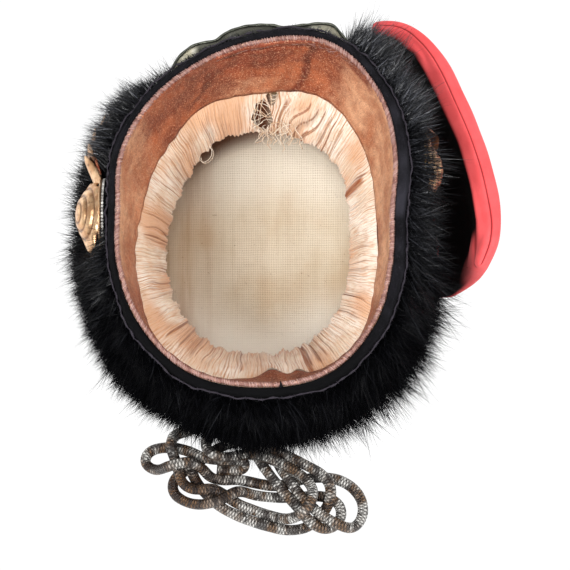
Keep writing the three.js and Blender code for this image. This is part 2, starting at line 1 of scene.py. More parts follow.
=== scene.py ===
"""A hussar officer's busby lying on its crown: fur, leather, gathered silk, red bag, brass and a flecked cap line.

Tables are in millimetres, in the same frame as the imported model: +Z up, +Y the front of the cap,
+X the wearer's left. Bearings run anticlockwise from +X.
"""

import math

import bpy
import numpy as np
from mathutils import Matrix, Vector


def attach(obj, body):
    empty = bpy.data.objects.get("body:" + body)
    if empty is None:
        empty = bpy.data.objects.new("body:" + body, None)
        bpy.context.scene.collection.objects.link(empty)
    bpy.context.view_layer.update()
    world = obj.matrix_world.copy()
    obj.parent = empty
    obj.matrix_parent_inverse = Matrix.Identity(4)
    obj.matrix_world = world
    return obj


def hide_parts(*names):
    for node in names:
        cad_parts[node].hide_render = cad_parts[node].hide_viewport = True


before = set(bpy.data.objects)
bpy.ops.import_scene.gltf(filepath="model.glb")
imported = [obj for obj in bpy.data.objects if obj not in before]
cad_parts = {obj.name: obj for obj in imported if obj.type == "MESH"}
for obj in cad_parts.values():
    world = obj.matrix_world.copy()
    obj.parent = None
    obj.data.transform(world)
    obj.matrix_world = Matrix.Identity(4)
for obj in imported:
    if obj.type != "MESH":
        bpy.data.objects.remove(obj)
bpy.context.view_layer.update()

MM = 0.001
TAU = 2 * math.pi

# ---------------------------------------------------------------- camera
CAMERA_PLACE = Vector((1.5, -317.6, 1420.6)) * MM
CAMERA_ELEVATION = math.radians(77.86)
CAMERA_TURN = math.radians(3.06)
CAMERA_ROLL = math.radians(3.11)

forward = Vector((math.sin(CAMERA_TURN) * math.cos(CAMERA_ELEVATION),
                  math.cos(CAMERA_TURN) * math.cos(CAMERA_ELEVATION), -math.sin(CAMERA_ELEVATION)))
camera = bpy.data.objects.new("camera", bpy.data.cameras.new("camera"))
bpy.context.scene.collection.objects.link(camera)
level = (-forward).to_track_quat("Z", "Y").to_matrix()
camera.location = CAMERA_PLACE
camera.rotation_euler = (level @ Matrix.Rotation(CAMERA_ROLL, 3, "Z")).to_euler()
camera.data.sensor_width = 36
camera.data.lens = 141.8
camera.data.clip_start = 0.05
camera.data.clip_end = 20
bpy.context.scene.camera = camera


# ---------------------------------------------------------------- mesh helpers
def build(name, points, quads=(), tris=(), materials=(), smooth=True, **attributes):
    """Mesh object from points in millimetres. Attributes are one number for each point."""
    mesh = bpy.data.meshes.new(name)
    points = np.asarray(points, float).reshape(-1, 3) * MM
    quads = np.asarray(quads, np.int32).reshape(-1, 4)
    tris = np.asarray(tris, np.int32).reshape(-1, 3)
    corners = np.concatenate([quads.ravel(), tris.ravel()])
    sizes = np.concatenate([np.full(len(quads), 4), np.full(len(tris), 3)])
    starts = np.concatenate([[0], np.cumsum(sizes)[:-1]]).astype(np.int32)
    mesh.vertices.add(len(points))
    mesh.vertices.foreach_set("co", points.astype(np.float32).ravel())
    mesh.loops.add(len(corners))
    mesh.loops.foreach_set("vertex_index", corners.astype(np.int32))
    mesh.polygons.add(len(sizes))
    mesh.polygons.foreach_set("loop_start", starts)
    mesh.polygons.foreach_set("use_smooth", np.full(len(sizes), smooth))
    mesh.update(calc_edges=True)
    for key, values in attributes.items():
        layer = mesh.attributes.new(key, "FLOAT", "POINT")
        layer.data.foreach_set("value", np.asarray(values, np.float32).ravel())
    for material in materials:
        mesh.materials.append(material)
    piece = bpy.data.objects.new(name, mesh)
    bpy.context.scene.collection.objects.link(piece)
    return piece


def mount(piece, slot, *replaced):
    """Lets a finished piece ride on the cap and hides the nodes that it stands for."""
    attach(piece, "root")
    if replaced:
        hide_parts(*replaced)


def grid_quads(rows, steps, wrap_rows=False, wrap_steps=True, first=0):
    """Faces of a grid of points in row order."""
    row = np.arange(rows if wrap_rows else rows - 1)
    step = np.arange(steps if wrap_steps else steps - 1)
    r, s = np.meshgrid(row, step, indexing="ij")
    r2, s2 = (r + 1) % rows, (s + 1) % steps
    faces = np.stack([r * steps + s, r * steps + s2, r2 * steps + s2, r2 * steps + s], -1)
    return faces.reshape(-1, 4) + first


def ring_points(radius, bearing, height):
    """Points from arrays of radius, bearing and height."""
    radius, bearing, height = np.broadcast_arrays(radius, bearing, height)
    return np.stack([radius * np.cos(bearing), radius * np.sin(bearing), height], -1)


def ripple(seed, bearing, across, low, high, terms=24, slant=0.0):
    """Uneven waves round a ring, between low and high of them to a turn, about -1.5 to 1.5."""
    rng = np.random.default_rng(seed)
    total = 0
    for _ in range(terms):
        count, phase, lean = rng.integers(low, high + 1), rng.uniform(0, TAU), rng.normal(0, slant)
        total = total + np.sin(count * bearing + lean * across + phase)
    return total / math.sqrt(terms / 2)


def smoothstep(value, low, high):
    """Eased share of the way from low to high, 0 to 1. With low above high it falls."""
    share = np.clip((value - low) / (high - low), 0, 1)
    return share * share * (3 - 2 * share)


def bump(value, middle, width):
    """Soft bell about a middle."""
    return np.exp(-((value - middle) / width) ** 2)


def degrees_from(bearing, middle):
    """Signed degrees between bearings in radians and a middle in degrees."""
    return (np.degrees(bearing) - middle + 180) % 360 - 180


def spot(bearing, middle, width):
    """Soft bell about a middle in degrees."""
    return bump(degrees_from(bearing, middle), 0, width)


def within(bearing, middle, far, near):
    """1 within near degrees of a middle, 0 beyond far."""
    return smoothstep(-np.abs(degrees_from(bearing, middle)), -far, -near)


def all_round(steps):
    """A row of bearings for one turn."""
    return np.linspace(0, TAU, steps, endpoint=False)[None, :]


# Radii of the cap's rings by bearing, one row each 22.5 degrees: inner edge of the leather, its foot,
# the silk's drawn-in edge, and the fur at half height
RINGS = np.array([
    (77.4, 71.5, 57.2, 112), (85.9, 76.5, 60.9, 112), (98.9, 85.5, 69.7, 115), (107.7, 93, 71, 122),
    (100.2, 86, 70.4, 122), (92.9, 84, 69, 122), (88.4, 76, 60, 121), (84.7, 72, 55.7, 118),
    (79.9, 72.5, 56.2, 116), (85.2, 78, 59.7, 120), (93.6, 85.5, 65.1, 126), (101.5, 88.5, 70.4, 127),
    (102.6, 87.5, 70.3, 131), (102.8, 89, 70.9, 130), (93.5, 86.5, 66.5, 128), (82.3, 77.5, 60.5, 122),
])
RIM, FOOT, THROAT, FUR = range(4)


def ring(column, bearing):
    """Smooth value of one column of the ring table at bearings in radians."""
    rows = len(RINGS)
    place = (np.asarray(bearing) / TAU % 1) * rows
    low = np.floor(place).astype(int)
    part = place - low
    before, here, after, beyond = (RINGS[(low + k) % rows, column] for k in (-1, 0, 1, 2))
    slope, slope_after = (after - before) / 2, (beyond - here) / 2
    square, cube = part ** 2, part ** 3
    return ((2 * cube - 3 * square + 1) * here + (cube - 2 * square + part) * slope
            + (3 * square - 2 * cube) * after + (cube - square) * slope_after)


def spline(points, step):
    """Centripetal Catmull-Rom curve through points, sampled about every step."""
    points = np.asarray(points, float)
    ends = [2 * points[0] - points[1]], [2 * points[-1] - points[-2]]
    points = np.concatenate([ends[0], points, ends[1]])
    made = []
    for p0, p1, p2, p3 in zip(points[:-3], points[1:-2], points[2:-1], points[3:]):
        t1 = np.linalg.norm(p1 - p0) ** 0.5
        t2 = t1 + np.linalg.norm(p2 - p1) ** 0.5
        t3 = t2 + np.linalg.norm(p3 - p2) ** 0.5
        count = max(2, round(np.linalg.norm(p2 - p1) / step))
        u = np.linspace(t1, t2, count, endpoint=False)[:, None]
        a1 = (t1 - u) / t1 * p0 + u / t1 * p1
        a2 = (t2 - u) / (t2 - t1) * p1 + (u - t1) / (t2 - t1) * p2
        a3 = (t3 - u) / (t3 - t2) * p2 + (u - t2) / (t3 - t2) * p3
        b1 = (t2 - u) / t2 * a1 + u / t2 * a2
        b2 = (t3 - u) / (t3 - t1) * a2 + (u - t1) / (t3 - t1) * a3
        made.append((t2 - u) / (t2 - t1) * b1 + (u - t1) / (t2 - t1) * b2)
    made.append(points[-2][None])
    return np.concatenate(made)


def lengths_along(line):
    """Distance along a line at each of its points."""
    return np.concatenate([[0], np.cumsum(np.linalg.norm(np.diff(line, axis=0), axis=1))])


def unit(vectors):
    """Vectors made one long."""
    return vectors / np.maximum(np.linalg.norm(vectors, axis=-1, keepdims=True), 1e-9)


def tube(line, radius, sides):
    """Points, faces and ring frames of a closed tube on a line. Radius may be an array for each point and side."""
    along = unit(np.gradient(line, axis=0))
    side = np.cross(along, (0, 0, 1.0))
    weak = np.linalg.norm(side, axis=1) < 0.05
    side[weak] = np.cross(along[weak], (1.0, 0, 0))
    side = unit(side)
    for at in range(1, len(side)):
        carried = side[at - 1] - along[at] * (side[at - 1] @ along[at])
        side[at] = carried / max(np.linalg.norm(carried), 1e-9)
    up = np.cross(side, along)
    turn = all_round(sides)
    spread = side[:, None] * np.cos(turn)[..., None] + up[:, None] * np.sin(turn)[..., None]
    radius = np.broadcast_to(np.asarray(radius, float).reshape(-1, 1) if np.ndim(radius) == 1
                             else radius, (len(line), sides))
    points = (line[:, None] + spread * radius[..., None]).reshape(-1, 3)
    quads = grid_quads(len(line), sides)
    first, last = len(points), len(points) + 1
    points = np.concatenate([points, line[:1], line[-1:]])
    ring_one = np.arange(sides)
    ring_end = ring_one + (len(line) - 1) * sides
    caps = np.concatenate([
        np.stack([np.full(sides, first), (ring_one + 1) % sides, ring_one], -1),
        np.stack([np.full(sides, last), ring_end, (ring_one + 1) % sides + (len(line) - 1) * sides], -1)])
    return points, quads, caps


class Heap:
    """Many small forms gathered into one mesh."""

    def __init__(self):
        self.points, self.quads, self.tris, self.tones, self.count = [], [], [], [], 0

    def add(self, points, quads=(), tris=(), tone=0.0):
        points = np.asarray(points, float).reshape(-1, 3)
        self.points.append(points)
        self.quads.append(np.asarray(quads, int).reshape(-1, 4) + self.count)
        self.tris.append(np.asarray(tris, int).reshape(-1, 3) + self.count)
        self.tones.append(np.broadcast_to(tone, len(points)))
        self.count += len(points)

    def thread(self, line, radius, sides=5, tone=0.0):
        self.add(*tube(np.asarray(line, float), radius, sides), tone=tone)

    def piece(self, name, materials, smooth=True):
        return build(name, np.concatenate(self.points), np.concatenate(self.quads),
                     np.concatenate(self.tris), materials, smooth, tone=np.concatenate(self.tones))


# ---------------------------------------------------------------- material helpers
def feed(tree, node, values):
    """Fills a node's inputs with constants or other nodes' sockets."""
    for key, value in values.items():
        if isinstance(value, bpy.types.NodeSocket):
            tree.links.new(value, node.inputs[key])
        else:
            node.inputs[key].default_value = value


def put(tree, kind, inputs=None, **settings):
    """New shader node. Inputs are constants or other nodes' sockets."""
    made = tree.nodes.new("ShaderNode" + kind)
    for key, value in settings.items():
        setattr(made, key, value)
    feed(tree, made, inputs or {})
    return made


def colour(red, green, blue):
    """Linear colour from a screen colour of 0 to 255."""
    def linear(c):
        c = c / 255
        return c / 12.92 if c <= 0.04045 else ((c + 0.055) / 1.055) ** 2.4
    return (linear(red), linear(green), linear(blue), 1)


def mixed(tree, factor, first, second):
    """Colour between two colours."""
    return put(tree, "Mix", {"Factor": factor, 6: first, 7: second}, data_type="RGBA", blend_type="MIX").outputs[2]


def sums(tree, operation, *values, clamp=False):
    """Output of a math node."""
    return put(tree, "Math", dict(enumerate(values)), operation=operation, use_clamp=clamp).outputs[0]


def times(tree, first, second, clamp=False):
    """Product of two values."""
    return sums(tree, "MULTIPLY", first, second, clamp=clamp)


def graded(tree, value, low, high, to_low=0.0, to_high=1.0):
    """Value taken from one range to another, with soft ends."""
    return put(tree, "MapRange", {"Value": value, "From Min": low, "From Max": high,
                                  "To Min": to_low, "To Max": to_high},
               interpolation_type="SMOOTHSTEP").outputs[0]


def noisy(tree, where, scale, detail=3.0, rough=0.55):
    """Noise of about 0 to 1."""
    return put(tree, "TexNoise", {"Vector": where, "Scale": scale, "Detail": detail,
                                  "Roughness": rough}).outputs["Fac"]


def stretched(tree, where, scale):
    """Place scaled by a different amount along each axis."""
    return put(tree, "Mapping", {"Vector": where, "Scale": scale}, vector_type="POINT").outputs[0]


def attribute(tree, name):
    """Value that the mesh carries under a name."""
    return put(tree, "Attribute", attribute_name=name).outputs["Fac"]


def group(name, inputs, outputs):
    """New shader group with its sockets, as (tree, inside inputs, inside outputs)."""
    tree = bpy.data.node_groups.new(name, "ShaderNodeTree")
    for key, kind in inputs:
        tree.interface.new_socket(name=key, in_out="INPUT", socket_type="NodeSocket" + kind)
    for key, kind in outputs:
        tree.interface.new_socket(name=key, in_out="OUTPUT", socket_type="NodeSocket" + kind)
    return tree, tree.nodes.new("NodeGroupInput").outputs, tree.nodes.new("NodeGroupOutput").inputs


def use(tree, made, inputs):
    """Outputs of a shader group put into a tree."""
    return put(tree, "Group", inputs, node_tree=made).outputs


def weave_group():
    """Plain weave: height of the threads and the gaps between them."""
    tree, given, gives = group("plain_weave", [("Vector", "Vector"), ("Pitch", "Float"), ("Wander", "Float")],
                               [("Height", "Float"), ("Gap", "Float")])
    drift = put(tree, "TexNoise", {"Vector": given["Vector"], "Scale": 60.0, "Detail": 2.0}).outputs["Color"]
    shift = put(tree, "VectorMath", {0: drift, 1: (0.5, 0.5, 0.5)}, operation="SUBTRACT").outputs[0]
    scaled = put(tree, "VectorMath", {0: shift, "Scale": given["Wander"]}, operation="SCALE").outputs[0]
    moved = put(tree, "VectorMath", {0: given["Vector"], 1: scaled}, operation="ADD").outputs[0]
    parts = put(tree, "SeparateXYZ", {0: moved}).outputs
    waves = []
    for axis in ("X", "Y"):
        turns = sums(tree, "DIVIDE", parts[axis], given["Pitch"])
        wave = sums(tree, "SINE", times(tree, turns, math.pi))
        waves.append(sums(tree, "ABSOLUTE", wave))
    height = sums(tree, "POWER", times(tree, waves[0], waves[1]), 0.5)
    tree.links.new(height, gives["Height"])
    tree.links.new(sums(tree, "SUBTRACT", 1.0, height), gives["Gap"])
    return tree


def mottle_group():
    """Two colours blended by soft uneven noise."""
    tree, given, gives = group("mottle", [("Vector", "Vector"), ("Scale", "Float"), ("First", "Color"),
                                          ("Second", "Color")], [("Colour", "Color")])
    soft = graded(tree, noisy(tree, given["Vector"], given["Scale"], 6.0, 0.6), 0.35, 0.65)
    tree.links.new(mixed(tree, soft, given["First"], given["Second"]), gives["Colour"])
    return tree


WEAVE = weave_group()
MOTTLE = mottle_group()


def mottled(tree, where, scale, first, second):
    """Two colours in soft patches."""
    return use(tree, MOTTLE, {"Vector": where, "Scale": scale, "First": first, "Second": second})["Colour"]


def woven_height(tree, where, pitch):
    """Height of a fine plain weave."""
    return use(tree, WEAVE, {"Vector": where, "Pitch": pitch, "Wander": 0.0006})["Height"]


def start(name):
    """New material as (material, tree, its shader's node, place in metres)."""
    material = bpy.data.materials.new(name)
    material.use_nodes = True
    tree = material.node_tree
    return material, tree, tree.nodes["Principled BSDF"], tree.nodes.new("ShaderNodeTexCoord").outputs["Object"]


def relief(tree, height, distance, strength=1.0, normal=None):
    """Normal raised by a height."""
    inputs = {"Height": height, "Distance": distance, "Strength": strength}
    if normal is not None:
        inputs["Normal"] = normal
    return put(tree, "Bump", inputs).outputs[0]


def leather_material():
    """Tan leather with lighter, redder and darker stains, scuffs and pores; part of the darkening is painted shade."""
    material, tree, shader, where = start("worn_leather")
    tan = mottled(tree, where, 38.0, colour(124, 52, 30), colour(190, 106, 66))
    light = mottled(tree, where, 45.0, colour(182, 116, 80), colour(234, 182, 142))
    red = mottled(tree, where, 70.0, colour(104, 38, 22), colour(150, 70, 44))
    dark = mottled(tree, where, 90.0, colour(72, 20, 12), colour(118, 42, 26))
    ragged = times(tree, sums(tree, "SUBTRACT", noisy(tree, where, 160.0, 6.0, 0.7), 0.5), 1.0)
    body = tan
    for name, other in (("light", light), ("red", red), ("dark", dark), ("edge", colour(150, 112, 104))):
        amount = sums(tree, "ADD", attribute(tree, name), ragged)
        body = mixed(tree, graded(tree, amount, 0.2, 0.8), body, other)
    pores = put(tree, "TexVoronoi", {"Vector": where, "Scale": 1500.0}, feature="F1").outputs["Distance"]
    creases = noisy(tree, stretched(tree, where, (1.0, 1.0, 0.35)), 520.0, 5.0, 0.65)
    scuff = graded(tree, noisy(tree, stretched(tree, where, (1.0, 1.0, 0.3)), 210.0, 7.0, 0.7), 0.42, 0.66)
    body = mixed(tree, times(tree, scuff, 0.5), body, mixed(tree, 0.5, body, colour(84, 34, 20)))
    speck = graded(tree, noisy(tree, where, 900.0, 3.0), 0.6, 0.7)
    body = mixed(tree, times(tree, speck, 0.6), body, colour(78, 30, 18))
    grit = noisy(tree, where, 2400.0, 3.0, 0.75)
    body = mixed(tree, graded(tree, grit, 0.48, 0.62, 0.0, 0.65), body, colour(96, 42, 24))
    body = mixed(tree, graded(tree, noisy(tree, where, 1100.0, 4.0, 0.7), 0.52, 0.66, 0.0, 0.6), body,
                 colour(236, 186, 150))
    grain = relief(tree, pores, 0.0003, 0.35)
    feed(tree, shader, {"Base Color": body, "Roughness": graded(tree, creases, 0.3, 0.7, 0.42, 0.62),
                        "Normal": relief(tree, creases, 0.0006, 0.5, grain),
                        "Specular IOR Level": 0.35})
    return material


def silk_material():
    """Cream silk with painted shade of peach and brown in its gathers, painted shadow beside its folds, ageing and
    painted shade on one side, and rust marks.
    """
    material, tree, shader, where = start("old_silk")
    cream = mottled(tree, where, 60.0, colour(222, 204, 182), colour(238, 228, 214))
    peach = mottled(tree, where, 80.0, colour(186, 132, 92), colour(216, 170, 130))
    line = attribute(tree, "gather")
    # Painted shade: peach in the valleys of the gathers.
    valley = graded(tree, line, 0.1, -1.1)
    aged = attribute(tree, "aged")
    body = mixed(tree, times(tree, valley, attribute(tree, "pleated"), clamp=True), cream, peach)
    # Painted shade: brown deep in the valleys of the gathers.
    deep = graded(tree, line, -0.35, -1.3, 0.0, 0.7)
    body = mixed(tree, times(tree, deep, attribute(tree, "pleated"), clamp=True), body, colour(150, 98, 64))
    # Ageing, with the painted shade of the silk's left and lower side.
    body = mixed(tree, graded(tree, aged, 0.1, 1.1, 0.0, 0.85), body, colour(212, 166, 130))
    body = mixed(tree, graded(tree, attribute(tree, "rust"), 0.2, 0.9), body, colour(150, 84, 48))
    # Painted shadow beside the folds.
    body = mixed(tree, graded(tree, attribute(tree, "crease"), 0.08, 0.8, 0.0, 0.85), body, colour(136, 84, 54))
    fine = attribute(tree, "round")
    hair = noisy(tree, put(tree, "CombineXYZ", {"X": times(tree, fine, 2.2),
                                               "Y": times(tree, attribute(tree, "down"), 3.0)}
                           ).outputs[0], 1.0, 2.0)
    # Painted shade of the fine gathers, in thin peach lines.
    body = mixed(tree, graded(tree, hair, 0.5, 0.36, 0.0, 0.65), body, peach)
    feed(tree, shader, {"Base Color": body, "Roughness": 0.48, "Sheen Weight": 0.25,
                        "Sheen Roughness": 0.4, "Normal": relief(tree, hair, 0.0005, 0.55),
                        "Specular IOR Level": 0.4})
    return material


def canvas_material(name, first, second, marks=1.0):
    """Coarse canvas with streaks and stains, painted shade in its weave, and where a piece sets them, painted light
    and painted shade at its edges and on its left.
    """
    material, tree, shader, where = start(name)
    base = mottled(tree, where, 22.0, first, second)
    woven = use(tree, WEAVE, {"Vector": where, "Pitch": 0.00115, "Wander": 0.0009})
    fine = use(tree, WEAVE, {"Vector": where, "Pitch": 0.0007, "Wander": 0.0005})
    # Painted shade in the gaps of the weave.
    gap = mixed(tree, 0.6, base, colour(120, 100, 76))
    body = mixed(tree, times(tree, woven["Gap"], 0.45), base, gap)
    parts = put(tree, "SeparateXYZ", {0: where}).outputs
    stripe = times(tree, graded(tree, sums(tree, "ABSOLUTE", sums(tree, "SUBTRACT", parts["X"], 0.011)),
                                           0.007, 0.001), 0.35)
    body = mixed(tree, stripe, body, colour(240, 226, 200))
    streaks = noisy(tree, stretched(tree, where, (1.0, 0.12, 1.0)), 170.0, 3.0)
    body = mixed(tree, graded(tree, streaks, 0.5, 0.7, 0.0, 0.25 * marks), body, colour(202, 180, 148))
    stain = graded(tree, noisy(tree, where, 26.0, 4.0), 0.52, 0.72, 0.0, 0.4 * marks)
    body = mixed(tree, stain, body, colour(206, 172, 132))
    speck = graded(tree, noisy(tree, where, 420.0, 2.0), 0.7, 0.76, 0.0, 0.6)
    body = mixed(tree, speck, body, colour(150, 118, 88))
    # Painted light: paler where a piece sets it.
    body = mixed(tree, attribute(tree, "pale"), body, mixed(tree, 0.95, body, colour(255, 246, 230)))
    bands = graded(tree, noisy(tree, stretched(tree, where, (1.0, 0.08, 1.0)), 120.0, 3.0), 0.35, 0.65, 0.5, 1.0)
    # Painted shade: brown bands where a piece sets it.
    body = mixed(tree, times(tree, attribute(tree, "brown"), bands), body, colour(172, 124, 84))
    # Painted shade towards the edges, where a piece sets it.
    body = mixed(tree, attribute(tree, "soiled"), body, colour(112, 64, 38))
    feed(tree, shader, {"Base Color": body, "Roughness": 0.9, "Specular IOR Level": 0.15,
                        "Normal": relief(tree, fine["Height"], 0.0003, 0.5,
                                         relief(tree, woven["Height"], 0.0004, 0.6))})
    return material


def red_cloth_material(name, first, second):
    """Red felted wool, darker in its seams and in its shade."""
    material, tree, shader, where = start(name)
    base = mottled(tree, where, 55.0, first, second)
    fuzz = noisy(tree, where, 2600.0, 3.0, 0.7)
    body = mixed(tree, graded(tree, fuzz, 0.45, 0.75, 0.0, 0.4), base, colour(226, 92, 94))
    body = mixed(tree, graded(tree, attribute(tree, "seam"), 0.15, 0.9, 0.0, 0.85), body, colour(112, 14, 20))
    worn = graded(tree, noisy(tree, where, 120.0, 5.0), 0.6, 0.8, 0.0, 0.12)
    body = mixed(tree, worn, body, colour(184, 40, 44))
    shaded = graded(tree, attribute(tree, "shade"), 0.0, 0.7)
    body = mixed(tree, shaded, body, colour(7, 2, 3))
    woven = woven_height(tree, where, 0.0005)
    feed(tree, shader, {"Base Color": body, "Roughness": 0.95, "Sheen Roughness": 0.5,
                        "Sheen Tint": colour(255, 150, 150),
                        "Sheen Weight": sums(tree, "MULTIPLY_ADD", shaded, -0.25, 0.25), "Specular IOR Level": 0.1,
                        "Normal": relief(tree, fuzz, 0.0004, 0.45, relief(tree, woven, 0.0002, 0.3))})
    return material


def band_material():
    """Black binding cloth with lint, worn places, a painted sheen and painted shade."""
    material, tree, shader, where = start("black_binding")
    base = mottled(tree, where, 90.0, colour(8, 8, 10), colour(18, 17, 21))
    nap = noisy(tree, where, 1500.0, 4.0, 0.7)
    lint = graded(tree, noisy(tree, where, 1500.0, 5.0, 0.8), 0.55, 0.72, 0.0, 0.6)
    body = mixed(tree, lint, base, colour(84, 80, 90))
    # Wear, and a painted sheen, lighter grey where a piece sets it.
    body = mixed(tree, graded(tree, attribute(tree, "worn"), 0.2, 1.0, 0.0, 0.6), body, colour(52, 51, 58))
    # Painted shade: nearly black where a piece sets it.
    body = mixed(tree, attribute(tree, "deep"), body, colour(4, 4, 5))
    woven = woven_height(tree, where, 0.0006)
    feed(tree, shader, {"Base Color": body, "Roughness": 0.9, "Specular IOR Level": 0.1,
                        "Normal": relief(tree, nap, 0.0006, 0.6, relief(tree, woven, 0.0003, 0.4))})
    return material


def fur_material(name, dark, bright, roughness):
    """Black hair with painted glints: brighter where its tone is high."""
    material, tree, shader, where = start(name)
    tone = attribute(tree, "tone")
    # Painted glints: hairs with a high tone take the bright colour.
    body = mixed(tree, tone, dark, bright)
    flake = noisy(tree, where, 900.0, 2.0)
    feed(tree, shader, {"Base Color": body, "Roughness": graded(tree, flake, 0.3, 0.7, roughness, roughness + 0.2),
                        "Specular IOR Level": times(tree, attribute(tree, "gloss"), 0.5)})
    return material


def metal_material(name, first, second, grime, roughness, plated=1.0):
    """Worn metal, mottled and grimy in its hollows, and darker where its tone is high, which on some pieces is painted
    shade.
    """
    material, tree, shader, where = start(name)
    base = mottled(tree, where, 140.0, first, second)
    dirt = graded(tree, noisy(tree, where, 320.0, 6.0, 0.65), 0.5, 0.72, 0.0, 0.75)
    body = mixed(tree, dirt, base, grime)
    # Tone darkens to the grime colour: patina in hollows, and painted shade where a piece sets it.
    body = mixed(tree, attribute(tree, "tone"), body, grime)
    scratch = noisy(tree, stretched(tree, where, (1.0, 0.25, 1.0)), 1400.0, 4.0, 0.6)
    feed(tree, shader, {"Base Color": body, "Metallic": plated,
                        "Roughness": graded(tree, scratch, 0.3, 0.7, roughness, roughness + 0.22),
                        "Normal": relief(tree, scratch, 0.0002, 0.3)})
    return material


def thread_material(name, first, second, roughness=0.7):
    """Twisted thread between two colours, with painted shade in the grooves of its twist."""
    material, tree, shader, where = start(name)
    twist = put(tree, "TexWave", {"Vector": where, "Scale": 700.0, "Distortion": 2.0, "Detail": 1.0},
                wave_type="BANDS", bands_direction="DIAGONAL").outputs["Fac"]
    body = mixed(tree, attribute(tree, "tone"), first, second)
    # Painted shade in the grooves of the twist.
    body = mixed(tree, graded(tree, twist, 0.0, 0.4, 0.25, 0.0), body, colour(60, 40, 30))
    feed(tree, shader, {"Base Color": body, "Roughness": roughness, "Specular IOR Level": 0.2,
                        "Normal": relief(tree, twist, 0.0003, 0.5)})
    return material


def cord_material():
    """Braided round cord: silver threads with painted shade in the gaps between them, tarnished to brown, with dark
    flecks in rows.
    """
    material, tree, shader, where = start("flecked_cord")
    along, about = attribute(tree, "along"), attribute(tree, "about")
    turns = times(tree, about, TAU)
    waves = []
    for way in (1.0, -1.0):
        phase = sums(tree, "MULTIPLY_ADD", along, TAU / PLAIT_PITCH, times(tree, turns, PLAIT_STRANDS * way))
        waves.append(sums(tree, "ABSOLUTE", sums(tree, "SINE", times(tree, phase, 0.5))))
    plait = sums(tree, "POWER", times(tree, waves[0], waves[1]), 1.2)
    rib = sums(tree, "ABSOLUTE", sums(tree, "SINE", sums(tree, "MULTIPLY_ADD", along, math.pi / 0.62, turns)))
    cell = put(tree, "CombineXYZ", {"X": times(tree, along, 0.75),
                                    "Y": times(tree, about, 7.0)}).outputs[0]
    spots = put(tree, "TexVoronoi", {"Vector": cell, "Scale": 1.0, "Randomness": 0.85},
                feature="F1").outputs
    patch = graded(tree, noisy(tree, put(tree, "CombineXYZ", {"X": times(tree, along, 0.10),
                                                             "Y": about}).outputs[0], 1.0, 3.0), 0.42, 0.6)
    fleck = times(tree, graded(tree, spots["Distance"], 0.42, 0.18),
                 graded(tree, put(tree, "SeparateColor", {0: spots["Color"]}).outputs[0], 0.3, 0.5))
    silver = mixed(tree, patch, colour(252, 250, 244), colour(140, 110, 82))
    brown = attribute(tree, "brown")
    silver = mixed(tree, brown, silver, mixed(tree, patch, colour(140, 104, 70), colour(76, 50, 34)))
    # Painted shade in the gaps of the braid and between its ribs.
    body = mixed(tree, times(tree, sums(tree, "SUBTRACT", 1.0, plait), 0.9), silver, colour(20, 14, 12))
    body = mixed(tree, times(tree, sums(tree, "SUBTRACT", 1.0, rib), 0.35), body, colour(66, 50, 42))
    body = mixed(tree, fleck, body, colour(26, 20, 20))
    band = graded(tree, noisy(tree, put(tree, "CombineXYZ", {"X": times(tree, along, 0.16),
                                                            "Y": times(tree, about, 1.6),
                                                            "Z": 3.0}).outputs[0], 1.0, 4.0, 0.65), 0.49, 0.54)
    body = mixed(tree, times(tree, band, 0.85), body, colour(34, 26, 24))
    height = sums(tree, "MULTIPLY_ADD", rib, 0.35, plait)
    feed(tree, shader, {"Base Color": body, "Roughness": 0.4, "Metallic": 0.1,
                        "Normal": relief(tree, height, 0.0009, 0.9)})
    return material


